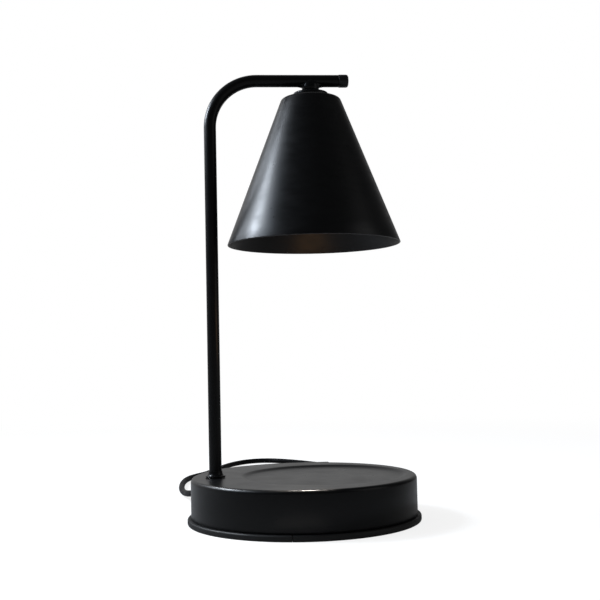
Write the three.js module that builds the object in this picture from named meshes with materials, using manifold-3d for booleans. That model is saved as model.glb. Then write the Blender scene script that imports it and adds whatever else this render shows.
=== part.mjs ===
// Candle warmer lamp: a drum base with a bent-tube arm, and a cone shade on a ball swivel
// that holds a halogen spot over a candle. Lengths are in millimetres, +Z is up, and the
// origin is on the table under the middle of the drum. The arm points along +X and the
// mains lead leaves the back of the drum, on the +Y side.
import * as THREE from 'three';
import { mergeVertices } from 'three/addons/utils/BufferGeometryUtils.js';
import Module from 'manifold-3d';

// Clearances
const gap = 0.3; // between touching or nested pieces
const overrun = 1; // how far a cutting solid passes through what it cuts

// Drum base
const drumRadius = 77;
const drumTop = 30.6;
const drumWall = 1.2;
const drumEdgeRound = 2.6;
const recessFromEdge = 7.2; // from the top of its slope to the drum's side, opposite the post
const recessFromPost = 17.6; // from the top of its slope to the middle of the post
const recessDepth = 1.5;
const recessSlope = 3.2;
const bossRadius = 3.5;
const bossInset = 9; // from the drum's side

// Bottom plate and the rubber trim round its edge
const plateThickness = 1.5;
const trimReach = 2.5; // beyond the drum's side
const trimHeight = 4;
const trimWeb = 1.7;
const trimLip = 4.6;
const trimRound = 1.1;
const trimSeam = 1.1;

// Cast ballast on the bottom plate
const ballastFromEdge = 13; // from the drum's side, opposite the post
const ballastFromBlock = 5.2;
const ballastThickness = 12;
const ballastChamfer = 1.2;
const ballastScrewSpread = 25;

// Screws
const screwRadius = 1.5;
const screwHeadRadius = 3;
const screwHeadHeight = 0.8;
const plateScrewLength = 11;
const clampScrewLength = 5;

// Bent post and arm
const postInset = 16.8; // from the drum's side
const tubeRadius = 4.25;
const tubeWall = 1.05;
const tubeFoot = 16;
const armHeight = 304.5;
const bendRadius = 33;
const armPast = 26.8; // beyond the middle of the ball
const endCapLength = 6.9;
const endCapProud = 0.25;
const endCapSpigot = 9;
const endCapRound = 1.6;
const collarRadius = 6.8;
const collarHeight = 4.2;
const collarFoot = 1.1;
const postNutAcross = 14;
const postNutHeight = 5;
const postWasherRadius = 8.6;
const postWasherThickness = 1;

// Ball swivel under the arm
const shadeFromPost = 6.35; // free space between the shade's rim and the post
const ballDrop = 4.3;
const ballRadius = 6.1;
const ballWall = 1.5;
const ballSeamDrop = 2.2;
const ballSeamGap = 0.3;
const tiltLimit = 20; // degrees to each side
const studRadius = 2.2;
const studBore = 1.5;
const studHeadThickness = 1.1;
const studHeadAngle = 62; // degrees from straight down
const studLength = 16.7;
const studNutAcross = 9;
const studNutHeight = 3;
const studWasherRadius = 6;
const studWasherThickness = 0.8;

// Shade and its cap, with depths below the middle of the ball
const capTopDepth = 4.5;
const capRadius = 12.3;
const capThickness = 2.1;
const capRound = 0.8;
const capHubRadius = 8;
const capHubLength = 3.6;
const shadeWall = 0.9;
const shadeCrownRadius = 12.4;
const shadeShoulderRadius = 20.75;
const shadeShoulderDepth = 9.1;
const shadeShoulderRound = 1.2;
const shadeRimRadius = 60.2;
const shadeRimDepth = 111.3;
const ringNutRadius = 11.5;
const ringNutHeight = 2;

// Lamp holder, its bracket, and the bulb
const bracketThickness = 1.2;
const bracketWidth = 12;
const bracketDrop = 25.7;
const bracketScrewDrop = 19.5;
const holderRadius = 13.5;
const holderTopDepth = 21.2;
const holderHeight = 20;
const holderChamfer = 1;
const holderSideScrew = 5;
const pinCircle = 5;
const pinRadius = 1.5;
const pinHeadRadius = 2.4;
const pinHeadHeight = 3;
const pinRise = 7.3;
const pinRoot = 3.5;
const twistLimit = 20; // degrees
const bulbNeckRadius = 12;
const bulbBaseHeight = 16.5;
const reflectorRadius = 25;
const reflectorHeight = 34.7;
const reflectorWall = 1.3;
const reflectorThroat = 6;
const lensThickness = 1.2;
const capsuleRadius = 4.2;
const capsuleLength = 22;

// Wiring
const leadRadius = 0.75;
const leadSpread = 0.95;
const headLeadRadius = 0.5;
const headLeadSpread = 0.72;
const headLeadEntry = 4;
const leadHeight = 8.5;
const blockLength = 18;
const blockWidth = 16;
const blockHeight = 11;
const blockFromPost = 22;
const blockTerminal = 4.5;

// Mains lead, with the bush that it leaves the drum through
const cordDiameter = 4.8;
const cordExitAngle = 136; // degrees from +X
const cordExitHeight = 10;
const bushRadius = 4;
const bushFlange = 5;
const bushFlangeThickness = 1.6;
const bushTail = 18;
const bushTip = 2.9;
const bushInside = 5;
const jacketLength = 16;
const clampLength = 8;
const clampWidth = 14;
const clampHeight = 13;

// Dimmer on the lead
const dimmerX = 16;
const dimmerY = 108;
const dimmerLength = 68;
const dimmerWidth = 30;
const dimmerHeight = 17;
const dimmerSplit = 8.5;
const dimmerWall = 1.6;
const dimmerEdge = 1.6;
const dialRadius = 11;
const dialHeight = 4.4;
const dialShaft = 2.8;
const dialShaftLength = 5.5;
const dialGrips = 24;
const dialGripDepth = 0.35;
const boardThickness = 1.6;
const boardLift = 2;
const boardLength = 44;
const boardWidth = 22;
const potSize = 12;
const potHeight = 7;
const dimmerPostRadius = 3;
const dimmerPostSpread = 26;

// Coil of the rest of the lead
const coilX = -20;
const coilY = 166;
const coilOuter = 34.5;
const coilPitch = 6.2;
const coilRise = 5.35;
const coilTurnsPerLayer = 2.375;
const coilStepsPerTurn = 24;
const coilSides = 6;
const cordSides = 8;
const cordStep = 12;
const cordLift = 0.05;
const tailLength = 8;

// Plug
const plugLength = 30;
const plugWidth = 25;
const plugRelief = 16;
const plugReliefTip = 3.1;
const plugCorner = 5;
const bladeLength = 17;
const bladeWidth = 6.3;
const bladeThickness = 1.5;
const bladeSpacing = 12.7;
const bladeRoot = 4;

// The lead's route on the table, as points chosen by hand: from the bush to the dimmer,
// and from the dimmer to the coil. The middle of the lead is at the third number.
const leadRoute = [
  [-68.55, 66.2, 10],
  [-72.4, 70.05, 10],
  [-76, 74.4, 9.7],
  [-78.9, 80.1, 9.1],
  [-81, 87.5, 8.1],
  [-82.9, 97, 6.8],
  [-84.9, 110, 5.2],
  [-87.2, 125, 3.8],
  [-89.3, 142, 2.85],
  [-90.9, 160, 2.5],
  [-91.5, 178, 2.45],
  [-91.2, 196, 2.45],
  [-89.6, 213, 2.45],
  [-86.3, 228, 2.45],
  [-80.8, 240.5, 2.45],
  [-74.6, 252, 2.45],
  [-69.2, 266, 2.45],
  [-63.8, 284, 2.45],
  [-57.6, 303, 2.45],
  [-50.6, 321, 2.45],
  [-42.8, 336, 2.45],
  [-33.6, 347.4, 2.45],
  [-22.4, 353.9, 2.45],
  [-10.2, 353.9, 2.45],
  [1, 348, 2.45],
  [11.5, 338.5, 2.45],
  [22.5, 326, 2.45],
  [35, 309, 2.45],
  [49, 287, 2.45],
  [63.5, 260, 2.45],
  [76, 230, 2.45],
  [84.6, 199, 2.45],
  [88.2, 170, 2.45],
  [87.6, 149, 2.45],
  [85.2, 134.5, 2.65],
  [80.8, 122.6, 3.6],
  [73.4, 113.7, 5.2],
  [64.6, 109.2, 7],
  [57, 108.1, 8.2],
  [50.3, 108, 8.5],
];
const linkRoute = [
  [-18.3, 108, 8.5],
  [-24, 108, 8.5],
  [-33, 109.4, 6.9],
  [-42, 114.5, 4.3],
  [-49, 124, 2.9],
  [-52.6, 137, 2.45],
  [-53.5, 150, 2.45],
  [-53.5, 160.9, 2.45],
];

// Counts and shares
const roundSides = 48;
const midSides = 24;
const smallSides = 16;
const roundSteps = 3;
const bendSteps = 10;
const reflectorShares = [[0.5, 0], [0.56, 0.1], [0.76, 0.35], [0.93, 0.66], [0.99, 0.9], [1, 1]];
const bossAngles = [45, 315, 200];
const trimSeamAngle = 260;

const wasm = await Module();
wasm.setup();

const degrees = (angle) => THREE.MathUtils.degToRad(angle);

// A closed geometry with shared corners, no empty triangles, and its faces pointing out.
function closed(geometry) {
  const bare = geometry.index ? geometry.toNonIndexed() : geometry.clone();
  for (const name of Object.keys(bare.attributes)) if (name !== 'position') bare.deleteAttribute(name);
  const shared = mergeVertices(bare, gap / 1000);
  const index = shared.index.array;
  const kept = [];
  for (let i = 0; i < index.length; i += 3) {
    const [a, b, c] = [index[i], index[i + 1], index[i + 2]];
    if (a !== b && b !== c && c !== a) kept.push(a, b, c);
  }
  shared.setIndex(kept);
  if (volumeOf(shared) < 0) {
    for (let i = 0; i < kept.length; i += 3) [kept[i + 1], kept[i + 2]] = [kept[i + 2], kept[i + 1]];
    shared.setIndex(kept);
  }
  return shared;
}

function volumeOf(geometry) {
  const [a, b, c] = [new THREE.Vector3(), new THREE.Vector3(), new THREE.Vector3()];
  const { array } = geometry.index;
  const place = geometry.attributes.position;
  let sum = 0;
  for (let i = 0; i < array.length; i += 3) {
    a.fromBufferAttribute(place, array[i]);
    b.fromBufferAttribute(place, array[i + 1]);
    c.fromBufferAttribute(place, array[i + 2]);
    sum += a.dot(b.cross(c)) / 6;
  }
  return sum;
}

function solid(geometry) {
  const shared = closed(geometry);
  return new wasm.Manifold(new wasm.Mesh({
    numProp: 3,
    vertProperties: new Float32Array(shared.attributes.position.array),
    triVerts: new Uint32Array(shared.index.array),
  }));
}

function geometryOf(manifold) {
  const mesh = manifold.getMesh();
  const geometry = new THREE.BufferGeometry();
  const places = [];
  for (let i = 0; i < mesh.vertProperties.length; i += mesh.numProp) {
    places.push(mesh.vertProperties[i], mesh.vertProperties[i + 1], mesh.vertProperties[i + 2]);
  }
  geometry.setAttribute('position', new THREE.Float32BufferAttribute(places, 3));
  geometry.setIndex([...mesh.triVerts]);
  return geometry;
}

function cut(body, ...tools) {
  return geometryOf(tools.reduce((left, tool) => left.subtract(solid(tool)), solid(body)));
}

function joined(...bodies) {
  return geometryOf(bodies.map(solid).reduce((all, body) => all.add(body)));
}

function moved(geometry, x, y, z) {
  return geometry.clone().translate(x, y, z);
}

// A solid turned round Z. Each point is [radius, height].
function turned(points, sides = smallSides) {
  const outline = points.map(([radius, height]) => new THREE.Vector2(radius, height));
  if (points[0][0] !== 0) outline.push(outline[0].clone());
  return closed(new THREE.LatheGeometry(outline, sides).rotateX(Math.PI / 2));
}

// Points on an arc in an outline, from one angle to another in degrees.
function arc(x, y, radius, from, to, steps = roundSteps) {
  return Array.from({ length: steps + 1 }, (_, i) => {
    const angle = degrees(from + ((to - from) * i) / steps);
    return [x + radius * Math.cos(angle), y + radius * Math.sin(angle)];
  });
}

function rod(radius, low, high, sides = smallSides) {
  return turned([[0, low], [radius, low], [radius, high], [0, high]], sides);
}

function tube(inner, outer, low, high, sides = smallSides) {
  return turned([[inner, low], [outer, low], [outer, high], [inner, high]], sides);
}

function hexNut(across, bore, low, high) {
  return cut(rod(across / Math.sqrt(3), low, high, 6), rod(bore, low - overrun, high + overrun));
}

// A flat outline in the XY plane, given as [x, y] points, standing from low to high.
function slab(points, low, high) {
  const shape = new THREE.Shape(points.map(([x, y]) => new THREE.Vector2(x, y)));
  const made = new THREE.ExtrudeGeometry(shape, { depth: high - low, bevelEnabled: false, steps: 1 });
  return closed(made.translate(0, 0, low));
}

function box(lowX, highX, lowY, highY, lowZ, highZ) {
  return slab([[lowX, lowY], [highX, lowY], [highX, highY], [lowX, highY]], lowZ, highZ);
}

function roundedOutline(length, width, corner) {
  const [x, y] = [length / 2 - corner, width / 2 - corner];
  return [
    ...arc(x, y, corner, 0, 90),
    ...arc(-x, y, corner, 90, 180),
    ...arc(-x, -y, corner, 180, 270),
    ...arc(x, -y, corner, 270, 360),
  ];
}

// A path whose rings sit exactly at the stations it is given.
class StationPath extends THREE.Curve {
  constructor(stations) {
    super();
    this.stations = stations.map((place) => new THREE.Vector3(...place));
  }

  getUtoTmapping(u) {
    return u;
  }

  getPoint(t) {
    const at = t * (this.stations.length - 1);
    const before = Math.min(Math.floor(at), this.stations.length - 2);
    return this.stations[before].clone().lerp(this.stations[before + 1], at - before);
  }

  getTangent(t) {
    const at = Math.round(t * (this.stations.length - 1));
    const last = this.stations.length - 1;
    const back = this.stations[at].clone().sub(this.stations[Math.max(at - 1, 0)]).normalize();
    const ahead = this.stations[Math.min(at + 1, last)].clone().sub(this.stations[at]).normalize();
    return back.add(ahead).normalize();
  }
}

function sweep(path, steps, radius, sides) {
  const ring = Array.from({ length: sides }, (_, i) => {
    const angle = (2 * Math.PI * i) / sides;
    return new THREE.Vector2(radius * Math.cos(angle), radius * Math.sin(angle));
  });
  const options = { steps, extrudePath: path, bevelEnabled: false };
  return closed(new THREE.ExtrudeGeometry(new THREE.Shape(ring), options));
}

function throughStations(stations, radius, sides) {
  return sweep(new StationPath(stations), stations.length - 1, radius, sides);
}

function alongRoute(route, radius, sides, step) {
  const curve = new THREE.CatmullRomCurve3(route.map((place) => new THREE.Vector3(...place)));
  return sweep(curve, Math.max(2, Math.round(curve.getLength() / step)), radius, sides);
}

// Finishes
const finish = (color, roughness, metalness = 0) =>
  new THREE.MeshStandardMaterial({ color, roughness, metalness });
const blackPaint = finish(0x17181a, 0.5, 0.1);
const blackRubber = finish(0x1c1d1e, 0.8);
const blackPlastic = finish(0x141414, 0.4);
const castIron = finish(0x3a3a3c, 0.7, 0.8);
const zincSteel = finish(0xa8abae, 0.4, 0.9);
const brass = finish(0xb59a5b, 0.35, 0.9);
const ceramic = finish(0xe8e4da, 0.6);
const glass = finish(0xdfe6e8, 0.1);
const boardGreen = finish(0x2c5a3a, 0.6);
const liveBrown = finish(0x5a3a22, 0.5);
const neutralBlue = finish(0x24406e, 0.5);

const lamp = new THREE.Group();

function add(parent, name, geometry, material) {
  const mesh = new THREE.Mesh(geometry, material);
  mesh.name = name;
  parent.add(mesh);
  return mesh;
}

// Base, with the places along X that follow from it
const postX = postInset - drumRadius;
const shadeX = postX + tubeRadius + shadeFromPost + shadeRimRadius;
const armEndX = shadeX + armPast;
const recessHigh = drumRadius - recessFromEdge;
const recessLow = postX + recessFromPost;
const recessX = (recessHigh + recessLow) / 2;
const recessRadius = (recessHigh - recessLow) / 2 - recessSlope;
const bossCircle = drumRadius - bossInset;
const blockX = postX + blockFromPost;
const ballastHigh = drumRadius - ballastFromEdge;
const ballastLow = blockX + blockLength / 2 + ballastFromBlock;
const ballastX = (ballastHigh + ballastLow) / 2;
const ballastRadius = (ballastHigh - ballastLow) / 2;
const trimRadius = drumRadius + trimReach;
const plateBottom = (trimHeight - plateThickness) / 2;
const plateTop = plateBottom + plateThickness;
const plateRadius = trimRadius - trimWeb - gap;
const drumBottom = trimHeight + gap;
const floorInside = plateTop + gap;
const underTop = drumTop - drumWall;
const bossPlaces = bossAngles.map((angle) => [
  bossCircle * Math.cos(degrees(angle)),
  bossCircle * Math.sin(degrees(angle)),
]);
const exitTurn = degrees(cordExitAngle);

function recessDish(sink, grow) {
  const floor = drumTop - recessDepth - sink;
  const dish = turned([
    [0, floor],
    [recessRadius + grow, floor],
    [recessRadius + recessSlope + grow, drumTop - sink],
    [recessRadius + recessSlope + grow, drumTop + overrun],
    [0, drumTop + overrun],
  ], roundSides);
  return moved(dish, recessX, 0, 0);
}

function radialRod(radius, from, to, height, sides = smallSides) {
  return rod(radius, from, to, sides).rotateY(Math.PI / 2).rotateZ(exitTurn).translate(0, 0, height);
}

function baseShell() {
  const round = drumEdgeRound;
  const outside = turned([
    [0, drumBottom],
    [drumRadius, drumBottom],
    ...arc(drumRadius - round, drumTop - round, round, 0, 90),
    [0, drumTop],
  ], roundSides);
  const hollow = turned([
    [0, drumBottom - overrun],
    [drumRadius - drumWall, drumBottom - overrun],
    ...arc(drumRadius - round, drumTop - round, round - drumWall, 0, 90),
    [0, underTop],
  ], roundSides);
  const bosses = bossPlaces.map((place) =>
    moved(rod(bossRadius, floorInside, drumTop - drumWall / 2), ...place, 0));
  const skin = solid(outside).subtract(solid(hollow).subtract(solid(recessDish(drumWall, 0))));
  const made = bosses.reduce((all, boss) => all.add(solid(boss)), skin);
  return cut(
    geometryOf(made),
    recessDish(0, 0),
    moved(rod(tubeRadius + gap, underTop - overrun, drumTop + overrun), postX, 0, 0),
    radialRod(bushRadius + gap, drumRadius - drumWall - overrun, drumRadius + overrun, cordExitHeight),
    ...bossPlaces.map(([x, y]) => {
      const top = plateTop + plateScrewLength + gap;
      return moved(rod(screwRadius + gap, plateTop - overrun, top), x, y, 0);
    }),
  );
}

const ballastScrewPlaces = [[ballastX - ballastScrewSpread, 0], [ballastX + ballastScrewSpread, 0]];
const clampAt = drumRadius - drumWall - bushInside - bushFlangeThickness - jacketLength / 2;
const clampPlace = [clampAt * Math.cos(exitTurn), clampAt * Math.sin(exitTurn)];
const blockScrewPlace = [blockX, 0];

function basePlate() {
  const holes = [...bossPlaces, ...ballastScrewPlaces, clampPlace, blockScrewPlace];
  return cut(
    rod(plateRadius, plateBottom, plateTop, roundSides),
    ...holes.map((place) =>
      moved(rod(screwRadius + gap, plateBottom - overrun, plateTop + overrun), ...place, 0)),
  );
}

function edgeTrim() {
  const inner = trimRadius - trimLip;
  const slotDepth = trimRadius - trimWeb;
  const ring = turned([
    [inner, 0],
    ...arc(trimRadius - trimRound, trimRound, trimRound, -90, 0, 2),
    ...arc(trimRadius - trimRound, trimHeight - trimRound, trimRound, 0, 90, 2),
    [inner, trimHeight],
    [inner, plateTop + gap],
    [slotDepth, plateTop + gap],
    [slotDepth, plateBottom - gap],
    [inner, plateBottom - gap],
  ], roundSides);
  const seam = box(inner - overrun, trimRadius + overrun, -trimSeam / 2, trimSeam / 2, -overrun,
    trimHeight + overrun).rotateZ(degrees(trimSeamAngle));
  return cut(ring, seam);
}

function screw(length) {
  const top = plateBottom - gap;
  return turned([
    [0, top - screwHeadHeight],
    [screwHeadRadius, top - screwHeadHeight],
    [screwHeadRadius, top],
    [screwRadius, top],
    [screwRadius, plateTop + length],
    [0, plateTop + length],
  ], smallSides / 2);
}

function ballast() {
  const [low, high] = [floorInside, floorInside + ballastThickness];
  const disc = turned([
    [0, low],
    [ballastRadius - ballastChamfer, low],
    [ballastRadius, low + ballastChamfer],
    [ballastRadius, high - ballastChamfer],
    [ballastRadius - ballastChamfer, high],
    [0, high],
  ], midSides);
  return cut(
    moved(disc, ballastX, 0, 0),
    ...ballastScrewPlaces.map(([x, y]) => moved(rod(screwRadius + gap, low - overrun,
      plateTop + ballastThickness / 2 + gap), x, y, 0)),
  );
}

function terminalBlock() {
  const [low, high] = [floorInside, floorInside + blockHeight];
  const body = slab(roundedOutline(blockLength, blockWidth, leadRadius * 2), low, high);
  const bores = [-blockTerminal, blockTerminal].map((x) =>
    rod(leadRadius + gap, -blockWidth, blockWidth, smallSides / 2).rotateX(Math.PI / 2)
      .translate(x, 0, leadHeight));
  const screws = [-blockTerminal, blockTerminal].map((x) =>
    moved(rod(leadRadius * 2, leadHeight, high + overrun, smallSides / 2), x, 0, 0));
  const fixing = rod(screwRadius + gap, low - overrun, low + clampScrewLength + gap);
  return moved(cut(body, ...bores, ...screws, fixing), blockX, 0, 0);
}

function cordBush() {
  const hole = drumRadius - drumWall;
  return turned([
    [0, hole - bushInside - bushFlangeThickness],
    [bushRadius, hole - bushInside - bushFlangeThickness],
    [bushRadius, hole - bushFlangeThickness - gap],
    [bushFlange, hole - bushFlangeThickness - gap],
    [bushFlange, hole - gap * 2],
    [bushRadius, hole - gap * 2],
    [bushRadius, drumRadius + gap],
    [bushFlange, drumRadius + gap],
    [bushFlange, drumRadius + gap + bushFlangeThickness],
    [bushRadius, drumRadius + gap + bushFlangeThickness],
    [bushTip, drumRadius + bushTail],
    [0, drumRadius + bushTail],
  ]).rotateY(Math.PI / 2).rotateZ(exitTurn).translate(0, 0, cordExitHeight);
}

const jacketOuterEnd = drumRadius - drumWall - bushInside - bushFlangeThickness - gap;

function cordClamp() {
  const [low, high] = [floorInside, floorInside + clampHeight];
  const body = box(clampAt - clampLength / 2, clampAt + clampLength / 2, -clampWidth / 2, clampWidth / 2,
    low, high).rotateZ(exitTurn);
  return cut(
    body,
    radialRod(cordDiameter / 2 + gap, clampAt - clampLength, clampAt + clampLength, cordExitHeight),
    moved(rod(screwRadius + gap, low - overrun, low + clampScrewLength - screwRadius), ...clampPlace, 0),
  );
}

// Mains conductors from the end of the jacket to the back of the terminal block.
function mainsLead(side) {
  const start = jacketOuterEnd - jacketLength - gap;
  const from = [
    start * Math.cos(exitTurn) - Math.sin(exitTurn) * side * leadSpread,
    start * Math.sin(exitTurn) + Math.cos(exitTurn) * side * leadSpread,
  ];
  const x = blockX - side * blockTerminal;
  const back = blockWidth / 2;
  return alongRoute([
    [...from, cordExitHeight],
    [from[0] * 0.95, from[1] * 0.95, cordExitHeight],
    [(from[0] + x) / 2, (from[1] + back) / 2, (cordExitHeight + leadHeight) / 2],
    [x, back + leadRadius * 4, leadHeight],
    [x, back - leadRadius, leadHeight],
  ], leadRadius, 6, leadRadius * 4);
}

// Conductors from the terminal block up the post and along the arm, down to the ball. The
// shares say how far each is on its way to the post, and how deep its loop still is there.
const loopShares = { 1: [[0.25, 1], [0.6, 0.58], [0.87, 0.07]], '-1': [[0.25, 1], [0.6, 0.8], [0.87, 0.3]] };

function armLead(side) {
  const y = side * leadSpread;
  const x = blockX - side * blockTerminal;
  const front = -blockWidth / 2;
  const depth = front - (side > 0 ? blockWidth / 4 : blockWidth / 2);
  const turn = leadRadius * 4;
  const bend = arc(postX + bendRadius, armHeight - bendRadius, bendRadius, 180, 90, bendSteps);
  const drop = arc(shadeX - turn, armHeight - turn, turn, 90, 0);
  const loop = new THREE.CatmullRomCurve3([
    [x, front + leadRadius, leadHeight],
    [x, front - leadRadius * 3, leadHeight],
    ...loopShares[side].map(([along, deep]) => [x + (postX - x) * along, depth * deep, leadHeight]),
    [postX, y, leadHeight + leadRadius * 5],
    [postX, y, tubeFoot],
  ].map((place) => new THREE.Vector3(...place)));
  return throughStations([
    ...loop.getPoints(18).map((place) => place.toArray()),
    [postX, y, armHeight - bendRadius - leadRadius],
    ...bend.map(([along, up]) => [along, y, up]),
    ...drop.map(([along, up]) => [along, y, up]),
    [shadeX, y, armHeight - ballDrop - gap],
  ], leadRadius, 6);
}

add(lamp, 'base_shell', baseShell(), blackPaint);
add(lamp, 'base_plate', basePlate(), blackPaint);
add(lamp, 'edge_trim', edgeTrim(), blackRubber);
bossPlaces.forEach((place, i) => {
  add(lamp, `plate_screw_${i + 1}`, screw(plateScrewLength), zincSteel).position.set(...place, 0);
});
add(lamp, 'ballast_weight', ballast(), castIron);
ballastScrewPlaces.forEach((place, i) => {
  add(lamp, `ballast_screw_${i + 1}`, screw(ballastThickness / 2), zincSteel).position.set(...place, 0);
});
add(lamp, 'terminal_block', terminalBlock(), ceramic);
add(lamp, 'terminal_block_screw', screw(clampScrewLength), zincSteel).position.set(...blockScrewPlace, 0);
add(lamp, 'cord_bush', cordBush(), blackRubber);
add(lamp, 'cord_jacket_inside', radialRod(cordDiameter / 2, jacketOuterEnd - jacketLength, jacketOuterEnd,
  cordExitHeight, 12), blackPlastic);
add(lamp, 'cord_clamp', cordClamp(), blackPlastic);
add(lamp, 'cord_clamp_screw', screw(clampScrewLength - screwRadius - gap), zincSteel)
  .position.set(...clampPlace, 0);
add(lamp, 'mains_lead_live', mainsLead(1), liveBrown);
add(lamp, 'mains_lead_neutral', mainsLead(-1), neutralBlue);

// Post and arm
const bendCentre = [postX + bendRadius, armHeight - bendRadius];

function postTube() {
  const bend = arc(...bendCentre, bendRadius, 180, 90, bendSteps);
  const armTip = armEndX - endCapLength - gap;
  const run = (over) => [
    [postX, 0, tubeFoot - over],
    ...bend.map(([x, z]) => [x, 0, z]),
    [armTip + over, 0, armHeight],
  ];
  const wireHole = rod(leadSpread + leadRadius + gap, armHeight - tubeRadius - overrun, armHeight);
  return cut(
    throughStations(run(0), tubeRadius, smallSides),
    throughStations(run(overrun), tubeRadius - tubeWall, smallSides / 2),
    moved(wireHole, shadeX, 0, 0),
  );
}

function postCollar() {
  const foot = drumTop + gap;
  const round = collarFoot / 2;
  const bore = tubeRadius + gap;
  return turned([
    [bore, foot],
    [collarRadius - round / 2, foot],
    ...arc(collarRadius - round, foot + round, round, -60, 90, 3),
    [bore + (collarRadius - bore) / 2, foot + collarFoot + round],
    [bore + round, foot + collarHeight - round],
    [bore + round / 2, foot + collarHeight],
    [bore, foot + collarHeight],
  ], midSides);
}

function endCap() {
  const start = armEndX - endCapLength;
  const radius = tubeRadius + endCapProud;
  return moved(turned([
    [0, start - endCapSpigot],
    [tubeRadius - tubeWall - gap, start - endCapSpigot],
    [tubeRadius - tubeWall - gap, start],
    [radius, start],
    ...arc(radius - endCapRound, armEndX - endCapRound, endCapRound, 0, 90),
    [0, armEndX],
  ], smallSides).rotateY(Math.PI / 2), 0, 0, armHeight);
}

const washerTop = underTop - gap;
const nutTop = washerTop - postWasherThickness - gap;
add(lamp, 'post_tube', postTube(), blackPaint);
add(lamp, 'post_collar', postCollar(), blackPaint).position.x = postX;
add(lamp, 'post_lock_washer', tube(tubeRadius + gap, postWasherRadius, washerTop - postWasherThickness,
  washerTop), zincSteel).position.x = postX;
add(lamp, 'post_nut', hexNut(postNutAcross, tubeRadius + gap, nutTop - postNutHeight, nutTop), zincSteel)
  .position.x = postX;
add(lamp, 'arm_end_cap', endCap(), blackPlastic);
add(lamp, 'arm_lead_live', armLead(1), liveBrown);
add(lamp, 'arm_lead_neutral', armLead(-1), neutralBlue);

// Ball swivel, in a frame whose origin is the middle of the ball
const swivel = new THREE.Group();
swivel.position.set(shadeX, 0, armHeight - ballDrop);
lamp.add(swivel);
const ballInner = ballRadius - ballWall;

const sinkTo = (radius, depth) => (Math.asin(-depth / radius) * 180) / Math.PI;

function ballTop() {
  const low = -ballSeamDrop + ballSeamGap / 2;
  const shell = turned([
    ...arc(0, 0, ballRadius, sinkTo(ballRadius, -low), 80, 7),
    ...arc(0, 0, ballInner, 80, sinkTo(ballInner, -low), 5),
  ], midSides);
  const arm = rod(tubeRadius + gap, -ballRadius * 2, ballRadius * 2).rotateY(Math.PI / 2);
  return cut(shell, moved(arm, 0, 0, ballDrop));
}

function ballBottom() {
  const high = -ballSeamDrop - ballSeamGap / 2;
  const shell = turned([
    ...arc(0, 0, ballRadius, -80, sinkTo(ballRadius, -high), 6),
    ...arc(0, 0, ballInner, sinkTo(ballInner, -high), -80, 4),
  ], midSides);
  const half = studRadius + gap;
  const top = half / Math.cos(degrees(tiltLimit));
  const deep = ballRadius + overrun;
  const foot = top + deep * Math.tan(degrees(tiltLimit));
  const slot = slab([[0, top], [0, -top], [-deep, -foot], [-deep, foot]], -half, half);
  return cut(shell, slot.rotateY(-Math.PI / 2));
}

function studPiece() {
  const outer = ballInner - gap;
  const inner = outer - studHeadThickness;
  const rim = studHeadAngle - 90;
  const low = -studLength;
  return turned([
    [studBore, low],
    ...arc(0, 0, inner, sinkTo(inner, Math.sqrt(inner ** 2 - studBore ** 2)), rim),
    ...arc(0, 0, outer, rim, sinkTo(outer, Math.sqrt(outer ** 2 - studRadius ** 2))),
    [studRadius, low],
  ], smallSides);
}

function shadeCap() {
  const seat = ballRadius + gap;
  const [top, under] = [-capTopDepth, -capTopDepth - capThickness];
  const bore = studRadius + gap;
  return turned([
    [bore, under - capHubLength],
    [capHubRadius, under - capHubLength],
    [capHubRadius, under],
    [capRadius, under],
    ...arc(capRadius - capRound, top - capRound, capRound, 0, 90),
    ...arc(0, 0, seat, sinkTo(seat, capTopDepth), sinkTo(seat, Math.sqrt(seat ** 2 - bore ** 2)), 5),
  ], midSides);
}

const crownDepth = capTopDepth + capThickness + gap;

function shadeCone() {
  const slope = (shadeRimRadius - shadeShoulderRadius) / (shadeRimDepth - shadeShoulderDepth);
  const across = shadeWall * Math.hypot(1, slope);
  const hole = capHubRadius + gap;
  const round = shadeShoulderRound;
  const edge = shadeShoulderRadius - round;
  const dip = shadeShoulderDepth - (round * (shadeShoulderDepth - crownDepth)) / (edge - shadeCrownRadius);
  return turned([
    [hole, -crownDepth],
    [shadeCrownRadius, -crownDepth],
    [edge, -dip],
    [shadeShoulderRadius - round / 4, -(dip + shadeShoulderDepth + round / 4) / 2],
    [shadeShoulderRadius + slope * round, -shadeShoulderDepth - round],
    [shadeRimRadius, -shadeRimDepth],
    [shadeRimRadius - across, -shadeRimDepth],
    [shadeShoulderRadius + slope * round - across, -shadeShoulderDepth - round],
    [edge - shadeWall / 2, -dip - shadeWall],
    [shadeCrownRadius - shadeWall / 4, -crownDepth - shadeWall],
    [hole, -crownDepth - shadeWall],
  ], roundSides);
}

const ringNutTop = crownDepth + shadeWall + gap;
const plateDepth = capTopDepth + capThickness + capHubLength + gap;
const bracketHalf = holderRadius + gap * 2 + bracketThickness;

function holderBracket() {
  const width = bracketWidth / 2;
  const low = -plateDepth - bracketDrop;
  const strap = joined(
    box(-bracketHalf, bracketHalf, -width, width, -plateDepth - bracketThickness, -plateDepth),
    box(-bracketHalf, -bracketHalf + bracketThickness, -width, width, low, -plateDepth),
    box(bracketHalf - bracketThickness, bracketHalf, -width, width, low, -plateDepth),
  );
  return cut(
    strap,
    rod(studRadius + gap, -plateDepth - bracketThickness - overrun, -plateDepth + overrun),
    moved(rod(screwRadius + gap, -bracketHalf - overrun, bracketHalf + overrun).rotateY(Math.PI / 2),
      0, 0, -plateDepth - bracketScrewDrop),
  );
}

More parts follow.
